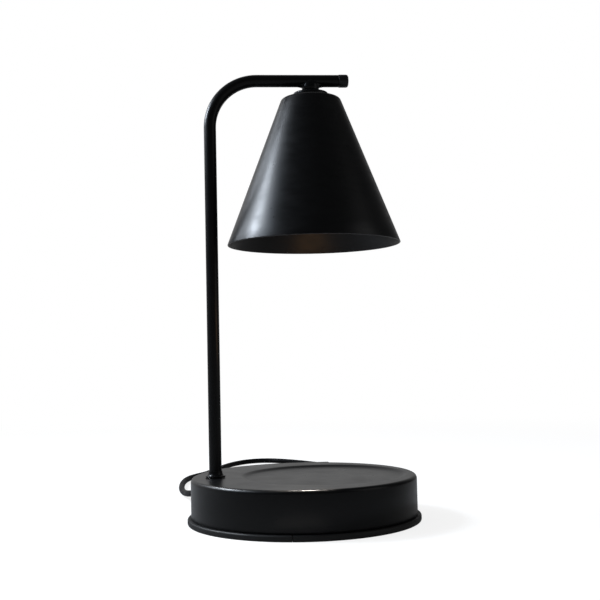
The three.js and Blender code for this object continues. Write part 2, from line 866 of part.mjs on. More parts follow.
function bracketScrew() {
  const seat = bracketHalf + gap;
  return turned([
    [0, seat + screwHeadHeight * 2],
    [screwHeadRadius - screwHeadHeight / 2, seat + screwHeadHeight * 2],
    [screwHeadRadius, seat + screwHeadHeight],
    [screwHeadRadius, seat],
    [screwRadius, seat],
    [screwRadius, holderRadius - holderSideScrew],
    [0, holderRadius - holderSideScrew],
  ], smallSides / 2).rotateY(Math.PI / 2);
}

// A slot that a pin sweeps as the bulb turns from the place it enters to the place it locks.
function twistSlot(half, from, to, low, high) {
  const outer = arc(0, 0, pinCircle + half, from, to, 6);
  const inner = arc(0, 0, pinCircle - half, to, from, 6);
  const end = (angle, start) => {
    const [x, y] = [pinCircle * Math.cos(degrees(angle)), pinCircle * Math.sin(degrees(angle))];
    return arc(x, y, half, angle + start, angle + start + 180, 6).slice(1, -1);
  };
  return slab([...outer, ...end(to, 0), ...inner, ...end(from, 180)], low, high);
}

const holderFloor = -holderTopDepth - holderHeight;
const pinHeadFloor = holderFloor + pinRise - pinHeadHeight;

function lampHolder() {
  const body = turned([
    [0, holderFloor],
    [holderRadius - holderChamfer, holderFloor],
    [holderRadius, holderFloor + holderChamfer],
    [holderRadius, -holderTopDepth - holderChamfer],
    [holderRadius - holderChamfer, -holderTopDepth],
    [0, -holderTopDepth],
  ], midSides);
  const shaft = pinRadius + gap;
  const head = pinHeadRadius + gap;
  const headTop = holderFloor + pinRise + gap;
  const slots = [0, 180].flatMap((side) => [
    twistSlot(shaft, side - twistLimit, side, holderFloor - overrun, pinHeadFloor),
    twistSlot(head, side - twistLimit, side, pinHeadFloor - gap, headTop),
    moved(rod(head, holderFloor - overrun, pinHeadFloor), pinCircle, 0, 0)
      .rotateZ(degrees(side - twistLimit)),
  ]);
  const wires = [-headLeadEntry, headLeadEntry].map((y) =>
    moved(rod(headLeadRadius * 2, -holderTopDepth - holderHeight / 3, -holderTopDepth + overrun,
      smallSides / 2), 0, y, 0));
  const sides = rod(screwRadius + gap, holderRadius - holderSideScrew - gap, holderRadius + overrun)
    .rotateY(Math.PI / 2).translate(0, 0, -plateDepth - bracketScrewDrop);
  return cut(body, ...slots, ...wires, sides, sides.clone().rotateZ(Math.PI));
}

const bulbTop = holderFloor - gap;
const reflectorTop = bulbTop - bulbBaseHeight - gap;
const reflectorRim = reflectorTop - reflectorHeight;

function bulbBase() {
  const chamfer = holderChamfer;
  const body = turned([
    [0, bulbTop - bulbBaseHeight],
    [bulbNeckRadius, bulbTop - bulbBaseHeight],
    [bulbNeckRadius, bulbTop - chamfer],
    [bulbNeckRadius - chamfer, bulbTop],
    [0, bulbTop],
  ], midSides);
  const roots = [-pinCircle, pinCircle].map((x) =>
    moved(rod(pinRadius + gap, bulbTop - pinRoot - gap, bulbTop + overrun), x, 0, 0));
  return cut(body, ...roots);
}

function bulbPin() {
  return turned([
    [0, bulbTop - pinRoot],
    [pinRadius, bulbTop - pinRoot],
    [pinRadius, pinHeadFloor],
    [pinHeadRadius, pinHeadFloor],
    [pinHeadRadius, holderFloor + pinRise],
    [0, holderFloor + pinRise],
  ]);
}

function bulbReflector() {
  const outer = reflectorShares.map(([across, down]) => [
    reflectorRadius * across,
    reflectorTop - reflectorHeight * down,
  ]);
  const inner = outer.slice(1).reverse().map(([radius, height]) => [
    radius - reflectorWall,
    Math.max(height, reflectorRim),
  ]);
  const throat = [reflectorThroat, reflectorTop - reflectorWall];
  return turned([...outer, ...inner, throat, [reflectorThroat, reflectorTop]], midSides);
}

function bulbCapsule() {
  const low = reflectorTop - capsuleLength;
  return turned([
    [0, low],
    ...arc(0, low + capsuleRadius, capsuleRadius, -60, 0),
    [capsuleRadius, reflectorTop],
    [0, reflectorTop],
  ]);
}

function headLead(side) {
  const y = side * headLeadSpread;
  const entry = side * headLeadEntry;
  const turn = holderTopDepth - studLength;
  return throughStations([
    [0, y, -gap * 4],
    [0, y, -studLength - turn / 8],
    [0, y + (entry - y) * 0.12, -studLength - turn * 0.3],
    [0, y + (entry - y) * 0.5, -studLength - turn * 0.5],
    [0, y + (entry - y) * 0.88, -studLength - turn * 0.7],
    [0, entry, -holderTopDepth + turn / 8],
    [0, entry, -holderTopDepth - holderHeight / 3 + gap],
  ], headLeadRadius, 6);
}

const washerDepth = plateDepth + bracketThickness + gap;
const nutDepth = washerDepth + studWasherThickness + gap;
add(swivel, 'swivel_ball_top', ballTop(), blackPaint);
add(swivel, 'swivel_ball_bottom', ballBottom(), blackPaint);
add(swivel, 'swivel_stud', studPiece(), zincSteel);
add(swivel, 'swivel_washer', tube(studRadius + gap, studWasherRadius, -washerDepth - studWasherThickness,
  -washerDepth), zincSteel);
add(swivel, 'swivel_nut', hexNut(studNutAcross, studRadius + gap, -nutDepth - studNutHeight, -nutDepth),
  zincSteel);
add(swivel, 'shade_cap', shadeCap(), blackPaint);
add(swivel, 'shade', shadeCone(), blackPaint);
add(swivel, 'shade_ring_nut', tube(capHubRadius + gap, ringNutRadius, -ringNutTop - ringNutHeight,
  -ringNutTop, midSides), zincSteel);
add(swivel, 'holder_bracket', holderBracket(), zincSteel);
[0, 180].forEach((angle, i) => {
  const made = add(swivel, `bracket_screw_${i + 1}`, bracketScrew(), zincSteel);
  made.position.z = -plateDepth - bracketScrewDrop;
  made.rotation.z = degrees(angle);
});
add(swivel, 'lamp_holder', lampHolder(), ceramic);
add(swivel, 'head_lead_live', headLead(1), liveBrown);
add(swivel, 'head_lead_neutral', headLead(-1), neutralBlue);
add(swivel, 'bulb_base', bulbBase(), ceramic);
[-pinCircle, pinCircle].forEach((x, i) => {
  add(swivel, `bulb_pin_${i + 1}`, bulbPin(), zincSteel).position.x = x;
});
add(swivel, 'bulb_reflector', bulbReflector(), glass);
add(swivel, 'bulb_capsule', bulbCapsule(), glass);
add(swivel, 'bulb_lens', rod(reflectorRadius, reflectorRim - gap - lensThickness, reflectorRim - gap,
  midSides), glass);

// Dimmer on the lead, in a frame whose origin is on the table under its middle
const dimmer = new THREE.Group();
dimmer.position.set(dimmerX, dimmerY, 0);
lamp.add(dimmer);
const dimmerPosts = [-dimmerPostSpread, dimmerPostSpread];
const boardFloor = dimmerWall + boardLift;
const potTop = boardFloor + boardThickness + gap + potHeight;

function dimmerOutline(inset) {
  return roundedOutline(dimmerLength - 2 * inset, dimmerWidth - 2 * inset, dimmerWidth / 2 - inset - gap);
}

function cordMouths() {
  return rod(cordDiameter / 2 + gap, -dimmerLength, dimmerLength).rotateY(Math.PI / 2)
    .translate(0, 0, dimmerSplit);
}

function dimmerBottom() {
  const shell = joined(
    slab(dimmerOutline(dimmerEdge / 2), 0, dimmerEdge),
    slab(dimmerOutline(0), dimmerEdge / 2, dimmerSplit - gap / 2),
  );
  const hollow = slab(dimmerOutline(dimmerWall), dimmerWall, dimmerSplit + overrun);
  const posts = dimmerPosts.map((x) => solid(moved(rod(dimmerPostRadius, dimmerWall / 2,
    dimmerSplit - gap / 2), x, 0, 0)));
  const left = solid(shell).subtract(solid(hollow));
  const made = geometryOf(posts.reduce((all, post) => all.add(post), left));
  return cut(
    made,
    cordMouths(),
    ...dimmerPosts.map((x) => moved(rod(screwRadius + gap, -overrun, dimmerSplit + overrun), x, 0, 0)),
    ...dimmerPosts.map((x) => moved(rod(screwHeadRadius - gap, -overrun, dimmerWall), x, 0, 0)),
  );
}

function dimmerTop() {
  const shell = joined(
    slab(dimmerOutline(0), dimmerSplit + gap / 2, dimmerHeight - dimmerEdge / 2),
    slab(dimmerOutline(dimmerEdge / 2), dimmerHeight - dimmerEdge, dimmerHeight),
  );
  const hollow = slab(dimmerOutline(dimmerWall), dimmerSplit - overrun, dimmerHeight - dimmerWall);
  const posts = dimmerPosts.map((x) => solid(moved(rod(dimmerPostRadius, dimmerSplit + gap / 2,
    dimmerHeight - dimmerWall / 2), x, 0, 0)));
  const left = solid(shell).subtract(solid(hollow));
  const made = geometryOf(posts.reduce((all, post) => all.add(post), left));
  return cut(
    made,
    cordMouths(),
    rod(dialShaft + gap, dimmerHeight - dimmerWall - overrun, dimmerHeight + overrun),
    ...dimmerPosts.map((x) => moved(rod(screwRadius + gap, dimmerSplit - overrun,
      dimmerHeight - dimmerWall), x, 0, 0)),
  );
}

function dimmerScrew() {
  const seat = dimmerWall - gap;
  return turned([
    [0, seat - screwHeadHeight],
    [screwHeadRadius - gap * 2, seat - screwHeadHeight],
    [screwHeadRadius - gap * 2, seat],
    [screwRadius, seat],
    [screwRadius, dimmerHeight - dimmerWall - gap],
    [0, dimmerHeight - dimmerWall - gap],
  ], smallSides / 2);
}

function dial() {
  const [low, high] = [dimmerHeight + gap, dimmerHeight + gap + dialHeight];
  const rim = Array.from({ length: dialGrips * 2 }, (_, i) => {
    const radius = dialRadius - (i % 2 ? dialGripDepth : 0);
    const angle = (Math.PI * i) / dialGrips;
    return [radius * Math.cos(angle), radius * Math.sin(angle)];
  });
  const crown = turned([
    [0, low],
    [dialRadius - dialGripDepth * 2, low],
    [dialRadius - dialGripDepth * 2, high],
    [dialRadius - dialGripDepth * 4, high + dialGripDepth],
    [0, high + dialGripDepth],
  ]);
  return joined(slab(rim, low, high), crown, rod(dialShaft, low - dialShaftLength, low + overrun));
}

function dimmerBoard() {
  const board = slab(roundedOutline(boardLength, boardWidth, boardThickness), boardFloor,
    boardFloor + boardThickness);
  return cut(board, ...dimmerPosts.map((x) =>
    moved(rod(dimmerPostRadius + gap, 0, dimmerHeight), x, 0, 0)));
}

function dimmerPot() {
  const [low, high] = [boardFloor + boardThickness + gap, potTop];
  const bore = rod(dialShaft + gap, dimmerHeight - dialShaftLength, dimmerHeight);
  return cut(slab(roundedOutline(potSize, potSize, boardThickness), low, high), bore);
}

add(dimmer, 'dimmer_bottom', dimmerBottom(), blackPlastic);
add(dimmer, 'dimmer_top', dimmerTop(), blackPlastic);
add(dimmer, 'dimmer_dial', dial(), blackPlastic);
add(dimmer, 'dimmer_board', dimmerBoard(), boardGreen);
add(dimmer, 'dimmer_pot', dimmerPot(), blackPlastic);
dimmerPosts.forEach((x, i) => {
  add(dimmer, `dimmer_screw_${i + 1}`, dimmerScrew(), zincSteel).position.x = x;
});

// The mains lead: its loose run and its short link as tubes along their routes, then the
// coil, whose turns spiral in on the table, climb a layer and spiral out again.
const cordRadius = cordDiameter / 2;
const coilTurns = 2 * coilTurnsPerLayer + 0.5;
const coilFloor = cordRadius + cordLift;

class CoilPath extends THREE.Curve {
  getUtoTmapping(u) {
    return u;
  }

  getPoint(t) {
    const turn = t * coilTurns;
    const inward = Math.min(turn, coilTurnsPerLayer);
    const outward = Math.max(turn - coilTurnsPerLayer - 0.5, 0);
    const climb = turn - inward - outward;
    const radius = coilOuter - coilPitch * (inward - outward);
    const angle = Math.PI - 2 * Math.PI * turn;
    const rise = (1 - Math.cos(2 * Math.PI * climb)) / 2;
    return new THREE.Vector3(radius * Math.cos(angle), radius * Math.sin(angle),
      coilFloor + coilRise * rise);
  }
}

const coilSteps = Math.round(coilTurns * coilStepsPerTurn);
const coilPath = new CoilPath();

// The least distance between two turns, measured from line to line, less the lead itself.
function leastGap(path, steps, diameter) {
  const places = Array.from({ length: steps * 4 + 1 }, (_, i) => path.getPoint(i / (steps * 4)));
  const near = Math.ceil((coilStepsPerTurn * 4) / 3);
  let least = Infinity;
  for (let i = 0; i < places.length; i += 1) {
    for (let j = i + near; j < places.length; j += 1) {
      least = Math.min(least, places[i].distanceTo(places[j]));
    }
  }
  return least - diameter;
}
console.log(`cord_coil: least gap to itself ${leastGap(coilPath, coilSteps, cordDiameter).toFixed(2)} mm`);

// Its ends run straight for one diameter, square to what they meet.
function coilStations() {
  const turns = Array.from({ length: coilSteps + 1 }, (_, i) => coilPath.getPoint(i / coilSteps));
  const lead = turns[0].clone().add(new THREE.Vector3(0, -cordDiameter, 0));
  const end = turns[coilSteps].clone().add(new THREE.Vector3(cordDiameter, 0, 0));
  return [lead, ...turns, end].map((place) => place.toArray());
}

const coilEnd = coilPath.getPoint(1);
const tailStart = coilEnd.x + cordDiameter + gap;
const tailHeight = coilEnd.z;
const plugStart = coilX + tailStart + tailLength + gap;

add(lamp, 'cord_run', alongRoute(leadRoute, cordRadius, cordSides, cordStep), blackPlastic);
add(lamp, 'cord_link', alongRoute(linkRoute, cordRadius, cordSides, cordStep), blackPlastic);
add(lamp, 'cord_coil', throughStations(coilStations(), cordRadius, coilSides), blackPlastic)
  .position.set(coilX, coilY, 0);
add(lamp, 'cord_tail', throughStations([
  [tailStart, coilEnd.y, tailHeight],
  [tailStart + tailLength, coilEnd.y, tailHeight],
], cordRadius, cordSides), blackPlastic).position.set(coilX, coilY, 0);

// Plug, lying flat with its blades pointing along +X
const plug = new THREE.Group();
plug.position.set(plugStart, coilY + coilEnd.y, tailHeight);
lamp.add(plug);

function plugBody() {
  const half = tailHeight - cordLift;
  const outline = [
    [0, -plugReliefTip],
    [plugRelief, -plugReliefTip * 1.5],
    [plugRelief + plugCorner, -plugWidth / 2 + plugCorner / 2],
    [plugRelief + plugCorner * 2, -plugWidth / 2],
    [plugRelief + plugLength - plugCorner / 2, -plugWidth / 2],
    [plugRelief + plugLength, -plugWidth / 2 + plugCorner / 2],
  ];
  const plan = [...outline, ...outline.map(([x, y]) => [x, -y]).reverse()];
  const side = [
    [0, -plugReliefTip],
    [plugRelief, -plugReliefTip * 1.5],
    [plugRelief + plugCorner, -half],
    [plugRelief + plugLength, -half],
  ];
  const height = [...side, ...side.map(([x, z]) => [x, -z]).reverse()];
  const flat = solid(slab(plan, -half, half));
  const tall = solid(slab(height, -plugWidth, plugWidth).rotateX(Math.PI / 2));
  const end = plugRelief + plugLength;
  const [thick, wide] = [bladeThickness / 2 + gap, bladeWidth / 2 + gap];
  const slots = [-bladeSpacing / 2, bladeSpacing / 2].map((y) =>
    box(end - bladeRoot - gap, end + overrun, y - thick, y + thick, -wide, wide));
  return cut(geometryOf(flat.intersect(tall)), ...slots);
}

function plugBlade() {
  const half = bladeWidth / 2;
  const tip = bladeLength;
  const outline = [
    [-bladeRoot, -half],
    [tip - half / 2, -half],
    [tip, -half / 2],
    [tip, half / 2],
    [tip - half / 2, half],
    [-bladeRoot, half],
  ];
  const blade = slab(outline, -bladeThickness / 2, bladeThickness / 2).rotateX(Math.PI / 2);
  const hole = rod(bladeThickness, -bladeWidth, bladeWidth, smallSides / 2).rotateX(Math.PI / 2);
  return cut(blade, moved(hole, tip - half * 1.6, 0, 0));
}

add(plug, 'plug_body', plugBody(), blackPlastic);
[-1, 1].forEach((side, i) => {
  add(plug, `plug_blade_${i + 1}`, plugBlade(), brass)
    .position.set(plugRelief + plugLength, (side * bladeSpacing) / 2, 0);
});

export default lamp;
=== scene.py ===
from math import asin, copysign, cos, degrees, dist, hypot, pi, radians, sin, sqrt, tan

import bmesh
import bpy
from mathutils import Matrix, Vector


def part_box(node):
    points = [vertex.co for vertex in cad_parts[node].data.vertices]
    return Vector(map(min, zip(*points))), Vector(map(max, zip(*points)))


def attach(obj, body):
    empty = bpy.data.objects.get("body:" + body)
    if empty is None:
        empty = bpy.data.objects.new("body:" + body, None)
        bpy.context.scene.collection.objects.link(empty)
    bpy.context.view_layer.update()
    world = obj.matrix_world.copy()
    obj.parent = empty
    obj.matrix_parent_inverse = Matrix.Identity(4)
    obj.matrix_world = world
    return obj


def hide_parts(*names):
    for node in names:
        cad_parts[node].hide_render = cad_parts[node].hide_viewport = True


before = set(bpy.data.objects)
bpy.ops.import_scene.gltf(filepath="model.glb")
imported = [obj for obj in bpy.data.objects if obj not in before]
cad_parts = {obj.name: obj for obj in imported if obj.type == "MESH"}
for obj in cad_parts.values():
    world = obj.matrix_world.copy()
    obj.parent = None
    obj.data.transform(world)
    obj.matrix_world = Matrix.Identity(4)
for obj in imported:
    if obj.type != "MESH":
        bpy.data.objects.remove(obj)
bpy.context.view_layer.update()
scene = bpy.context.scene

# Camera, fitted to the photo
IMAGE_WIDTH = 600
FOCAL_PIXELS = 952.8
SENSOR_WIDTH = 36.0
CAMERA_PLACE = Vector((-0.0513, -0.6570, 0.1123))
CAMERA_YAW = radians(-4.469)
CAMERA_PITCH = radians(3.321)
CAMERA_ROLL = radians(-1.241)

# Clearance between nested pieces, how far cutters pass what they cut, roundings of edges, and
# how finely round pieces are drawn
GAP = 0.0003
OVERRUN = 0.001
EDGE_FINE = 0.0002
EDGE_SMALL = 0.0003
EDGE_MIDDLE = 0.0004
EDGE_LARGE = 0.0005
ROUND_SIDES = 192
MIDDLE_SIDES = 96
SMALL_SIDES = 64
TINY_SIDES = 48
LENS_SIDES = 128
HOLE_SIDES = 32
CREASE = 32.0

# Drum base
DRUM_RADIUS = 0.077
DRUM_TOP = 0.0306
DRUM_FOOT = 0.0043
DRUM_WALL = 0.0012
DRUM_ROUND = 0.0026
RECESS_X = 0.0136
RECESS_RADIUS = 0.053
RECESS_SLOPE = 0.0032
RECESS_DEPTH = 0.0015
BOSS_RADIUS = 0.0035
BOSS_CIRCLE = 0.068
BOSS_ANGLES = (45, 315, 200)

# Plate, rubber trim and the screws below
PLATE_RADIUS = 0.0775
PLATE_LOW = 0.00125
PLATE_HIGH = 0.00275
TRIM_RADIUS = 0.0795
TRIM_HEIGHT = 0.004
TRIM_LIP = 0.0046
TRIM_WEB = 0.0017
TRIM_ROUND = 0.0011
TRIM_SEAM_ANGLE = 260
TRIM_SEAM = 0.0004
SCREW_RADIUS = 0.0015
SCREW_HEAD_RADIUS = 0.003
SCREW_HEAD_HEIGHT = 0.0008

# Bent post
POST_X = -0.0602
TUBE_RADIUS = 0.00425
TUBE_WALL = 0.00105
TUBE_FOOT = 0.016
ARM_HEIGHT = 0.3045
BEND_RADIUS = 0.033
ARM_END_X = 0.0374
END_CAP_LENGTH = 0.0069
END_CAP_RADIUS = 0.0045
END_CAP_ROUND = 0.0017
END_CAP_SPIGOT = 0.009
COLLAR_RADIUS = 0.0068
COLLAR_HEIGHT = 0.0042
COLLAR_BEAD = 0.0011
COLLAR_STEP = 0.0006
COLLAR_LIP = 0.0003
WIRE_HOLE_RADIUS = 0.002

# Swivel and shade, with depths below the middle of the ball
BALL = Vector((0.0106, 0.0, 0.3002))
BALL_RADIUS = 0.0061
BALL_WALL = 0.0015
BALL_SEAM_DEPTH = 0.0022
BALL_OPENING = 85
BALL_SLOT_DEPTH = 0.0071
TILT_LIMIT = radians(20)
ARM_CUT_HALF = 0.02
SADDLE_FOOT = 0.0006
SADDLE_REACH = 0.0098
SADDLE_HALF_WIDTH = 0.0041
CAP_TOP_DEPTH = 0.0045
CAP_RADIUS = 0.0123
CAP_THICKNESS = 0.0021
CAP_ROUND = 0.0008
CAP_HUB_RADIUS = 0.008
CAP_HUB_LENGTH = 0.0036
STUD_RADIUS = 0.0022
SHADE_WALL = 0.0009
SHADE_CROWN_RADIUS = 0.0124
SHADE_CROWN_ROUND = 0.0006
SHADE_SHOULDER_RADIUS = 0.02075
SHADE_SHOULDER_DEPTH = 0.0091
SHADE_SHOULDER_ROUND = 0.003
SHADE_RIM_RADIUS = 0.0602
SHADE_RIM_DEPTH = 0.1113
# Height of the painted highlight band along the shade's rim
RIM_HIGHLIGHT_HEIGHT = 0.0004
RING_NUT_RADIUS = 0.0115
RING_NUT_HEIGHT = 0.002
NOTCH_DEPTH = 0.0015
NOTCH_HALF_WIDTH = 0.0012

# Holder and bulb
HOLDER_RADIUS = 0.0135
HOLDER_TOP_DEPTH = 0.0212
HOLDER_HEIGHT = 0.02
HOLDER_ROUND = 0.001
HOLDER_GROOVE_START = 0.006
HOLDER_GROOVE_WIDTH = 0.0032
HOLDER_GROOVE_DEPTH = 0.0006
HOLDER_WIRE_Y = 0.004
HOLDER_WIRE_RADIUS = 0.001
BRACKET_HALF = 0.0153
BRACKET_SCREW_DEPTH = 0.03
BRACKET_SCREW_END = 0.0082
PIN_CIRCLE = 0.005
PIN_SLOT_RADIUS = 0.0027
PIN_SLOT_DEPTH = 0.0076
PIN_SLOT_TURNS = (-20, -10, 0)
PIN_ROOT_DEPTH = 0.0038
BULB_NECK_RADIUS = 0.012
BULB_BASE_HEIGHT = 0.0165
REFLECTOR_RADIUS = 0.025
REFLECTOR_HEIGHT = 0.0347
REFLECTOR_WALL = 0.0013
REFLECTOR_HOLE = 0.006
REFLECTOR_SHARES = ((0.5, 0), (0.56, 0.1), (0.76, 0.35), (0.93, 0.66), (0.99, 0.9), (1, 1))
REFLECTOR_FACETS = 24
LENS_THICKNESS = 0.0012
CAPSULE_RADIUS = 0.0042
CAPSULE_LENGTH = 0.022
CAPSULE_WALL = 0.0008
CAPSULE_SHOULDER = 0.004
CAPSULE_NECK_SHARE = 0.8
FILAMENT_RADIUS = 0.00008
FILAMENT_COIL_RADIUS = 0.0005
FILAMENT_HALF_LENGTH = 0.0022
FILAMENT_TURNS = 9
FILAMENT_STEPS = 16
FILAMENT_HEIGHT = 0.008
FILAMENT_END = 0.001

# Lead, with its bush, dimmer, coil and plug
CORD_DIAMETER = 0.0048
CORD_SIDES = 24
CORD_STEP = 0.0015
BUSH_ANGLE = radians(136)
BUSH_HEIGHT = 0.01
BUSH_RADIUS = 0.004
BUSH_FLANGE = 0.005
BUSH_TAIL = 0.018
BUSH_TIP = 0.0029
BUSH_FLANGE_WALL = 0.0016
BUSH_SPIGOT = 0.005
BUSH_RIBS = 6
BUSH_RIB_DEPTH = 0.00045
DIMMER_PLACE = Vector((0.016, 0.108, 0.0))
DIMMER_LENGTH = 0.068
DIMMER_WIDTH = 0.03
DIMMER_HEIGHT = 0.017
DIMMER_SPLIT = 0.0085
DIMMER_WALL = 0.0016
DIMMER_EDGE = 0.0016
DIMMER_GROOVE = 0.0003
DIMMER_SCREW_SPREAD = 0.026
DIMMER_SCREW_LENGTH = 0.0142
DIAL_RADIUS = 0.011
DIAL_HEIGHT = 0.0044
DIAL_GRIPS = 24
DIAL_GRIP_DEPTH = 0.00035
DIAL_SHAFT = 0.0028
DIAL_SHAFT_LENGTH = 0.0055
DIAL_ROUND = 0.0008
DIAL_DISH = 0.0004
MARK_COUNT = 10
MARK_FIRST = 225
MARK_STEP = 30
MARK_GAP = 0.0006
MARK_LENGTH = 0.0006
MARK_GROWTH = 0.00012
MARK_HALF_WIDTH = 0.00016
MARK_SINK = 0.0002
MARK_RISE = 0.00002
POINTER_ENDS = (-0.0088, -0.0045)
POINTER_HALF_WIDTH = 0.0003
POINTER_RISE = 0.00015
COIL_PLACE = Vector((-0.02, 0.166, 0.0))
COIL_OUTER = 0.0345
COIL_PITCH = 0.0062
COIL_RISE = 0.00535
COIL_TURNS_PER_LAYER = 2.375
COIL_STEPS_PER_TURN = 96
CORD_FLOOR = 0.00245
TAIL_LENGTH = 0.008
PLUG_RELIEF = 0.016
PLUG_LENGTH = 0.03
PLUG_WIDTH = 0.025
PLUG_CORNER = 0.005
PLUG_TIP = 0.0031
PLUG_LIFT = 0.00005
PLUG_RIBS = 5
PLUG_RIB_DEPTH = 0.0005
PLUG_END_CORNER = 0.003
PLUG_END_STEPS = ((0.0009, 0), (0.0004, 0.0001), (0.0001, 0.0004), (0, 0.0009))

LEAD_ROUTE = [
    (-0.06855, 0.0662, 0.01), (-0.0724, 0.07005, 0.01), (-0.076, 0.0744, 0.0097),
    (-0.0789, 0.0801, 0.0091), (-0.081, 0.0875, 0.0081), (-0.0829, 0.097, 0.0068),
    (-0.0849, 0.11, 0.0052), (-0.0872, 0.125, 0.0038), (-0.0893, 0.142, 0.00285),
    (-0.0909, 0.16, 0.0025), (-0.0915, 0.178, 0.00245), (-0.0912, 0.196, 0.00245),
    (-0.0896, 0.213, 0.00245), (-0.0863, 0.228, 0.00245), (-0.0808, 0.2405, 0.00245),
    (-0.0746, 0.252, 0.00245), (-0.0692, 0.266, 0.00245), (-0.0638, 0.284, 0.00245),
    (-0.0576, 0.303, 0.00245), (-0.0506, 0.321, 0.00245), (-0.0428, 0.336, 0.00245),
    (-0.0336, 0.3474, 0.00245), (-0.0224, 0.3539, 0.00245), (-0.0102, 0.3539, 0.00245),
    (0.001, 0.348, 0.00245), (0.0115, 0.3385, 0.00245), (0.0225, 0.326, 0.00245),
    (0.035, 0.309, 0.00245), (0.049, 0.287, 0.00245), (0.0635, 0.26, 0.00245),
    (0.076, 0.23, 0.00245), (0.0846, 0.199, 0.00245), (0.0882, 0.17, 0.00245),
    (0.0876, 0.149, 0.00245), (0.0852, 0.1345, 0.00265), (0.0808, 0.1226, 0.0036),
    (0.0734, 0.1137, 0.0052), (0.0646, 0.1092, 0.007), (0.057, 0.1081, 0.0082),
    (0.0503, 0.108, 0.0085),
]
LINK_ROUTE = [
    (-0.0183, 0.108, 0.0085), (-0.024, 0.108, 0.0085), (-0.033, 0.1094, 0.0069),
    (-0.042, 0.1145, 0.0043), (-0.049, 0.124, 0.0029), (-0.0526, 0.137, 0.00245),
    (-0.0535, 0.15, 0.00245), (-0.0535, 0.1609, 0.00245),
]


# Camera

def make_camera():
    ahead = Vector((-sin(CAMERA_YAW) * cos(CAMERA_PITCH), cos(CAMERA_YAW) * cos(CAMERA_PITCH),
                    sin(CAMERA_PITCH)))
    right = Vector((cos(CAMERA_YAW), sin(CAMERA_YAW), 0))
    up = right.cross(ahead)
    side = right * cos(CAMERA_ROLL) + up * sin(CAMERA_ROLL)
    top = up * cos(CAMERA_ROLL) - right * sin(CAMERA_ROLL)
    lens = bpy.data.cameras.new("camera")
    lens.sensor_width = SENSOR_WIDTH
    lens.lens = FOCAL_PIXELS / IMAGE_WIDTH * SENSOR_WIDTH
    lens.clip_start = 0.01
    camera = bpy.data.objects.new("camera", lens)
    turn = Matrix((side, top, -ahead)).transposed()
    camera.matrix_world = Matrix.Translation(CAMERA_PLACE) @ turn.to_4x4()
    scene.collection.objects.link(camera)
    scene.camera = camera


make_camera()


# Shapes

def solid(name, points, faces, crease=CREASE):
    mesh = bpy.data.meshes.new(name)
    mesh.from_pydata([tuple(point) for point in points], [], faces)
    work = bmesh.new()
    work.from_mesh(mesh)
    bmesh.ops.recalc_face_normals(work, faces=work.faces)
    work.to_mesh(mesh)
    work.free()
    mesh.shade_smooth()
    mesh.set_sharp_from_angle(angle=radians(crease))
    piece = bpy.data.objects.new(name, mesh)
    scene.collection.objects.link(piece)
    return piece


def loft(name, rings, closed=False, crease=CREASE):
    """A solid through rings of points. A ring of one point is a pole, and open ends are capped."""
    points, firsts, faces = [], [], []
    for ring in rings:
        firsts.append(len(points))
        points.extend(ring)
    pairs = [(i, i + 1) for i in range(len(rings) - 1)]
    if closed:
        pairs.append((len(rings) - 1, 0))
    for a, b in pairs:
        count = max(len(rings[a]), len(rings[b]))
        for i in range(count):
            j = (i + 1) % count
            corners = [
                firsts[a] + i % len(rings[a]), firsts[a] + j % len(rings[a]),
                firsts[b] + j % len(rings[b]), firsts[b] + i % len(rings[b]),
            ]
            faces.append(list(dict.fromkeys(corners)))
    if not closed:
        for end in (0, len(rings) - 1):
            if len(rings[end]) > 1:
                faces.append([firsts[end] + i for i in range(len(rings[end]))])
    return solid(name, points, faces, crease)


def around(sides):
    return [2 * pi * i / sides for i in range(sides)]


def quarter(steps):
    """Angles over a quarter turn."""
    return [pi / 2 * i / steps for i in range(steps + 1)]


def circle(radius, height, x=0.0, sides=ROUND_SIDES):
    if radius == 0:
        return [Vector((x, 0, height))]
    return [Vector((x + radius * cos(a), radius * sin(a), height)) for a in around(sides)]


def arc(x, y, radius, start, end, steps):
    """Points on an arc, from one angle to another in degrees."""
    turns = [radians(start + (end - start) * i / steps) for i in range(steps + 1)]
    return [(x + radius * cos(a), y + radius * sin(a)) for a in turns]


def rounded(half_width, half_height, corner, steps):
    """The outline of a rectangle with round corners."""
    x, y = half_width - corner, half_height - corner
    return [*arc(x, y, corner, 0, 90, steps), *arc(-x, y, corner, 90, 180, steps),
            *arc(-x, -y, corner, 180, 270, steps), *arc(x, -y, corner, 270, 360, steps)]


def softened(outline, steps=4):
    """The outline, with each corner that has a third number rounded to that radius."""
    done = []
    for i, point in enumerate(outline):
        here = Vector(point[:2])
        if len(point) < 3:
            done.append(here)
            continue
        before = (Vector(outline[i - 1][:2]) - here).normalized()
        after = (Vector(outline[(i + 1) % len(outline)][:2]) - here).normalized()
        half = before.angle(after) / 2
        middle = here + (before + after).normalized() * point[2] / sin(half)
        first = here + before * point[2] / tan(half) - middle
        last = here + after * point[2] / tan(half) - middle
        turn = first.angle(last)
        for step in range(steps + 1):
            share = step / steps
            lean = first * sin((1 - share) * turn) + last * sin(share * turn)
            done.append(middle + lean / sin(turn))
    return done


def turned(name, outline, sides=SMALL_SIDES, crease=CREASE):
    """A solid turned round Z from points of radius, height and, at a corner, its rounding."""
    rings = [circle(0 if r < 1e-7 else r, z, sides=sides) for r, z in softened(outline)]
    return loft(name, rings, closed=len(rings[0]) > 1, crease=crease)


def spun(piece, angle, axis="Z"):
    piece.data.transform(Matrix.Rotation(angle, 4, axis))
    return piece


def along_x(piece):
    return spun(piece, pi / 2, "Y")


def moved(piece, place):
    piece.data.transform(Matrix.Translation(place))
    return piece


def cutter(radius, low, high, place=(0, 0, 0), sides=SMALL_SIDES):
    """A rod along Z to cut a hole with."""
    rod = turned("cutter", [(0, low), (radius, low), (radius, high), (0, high)], sides)
    return moved(rod, place)


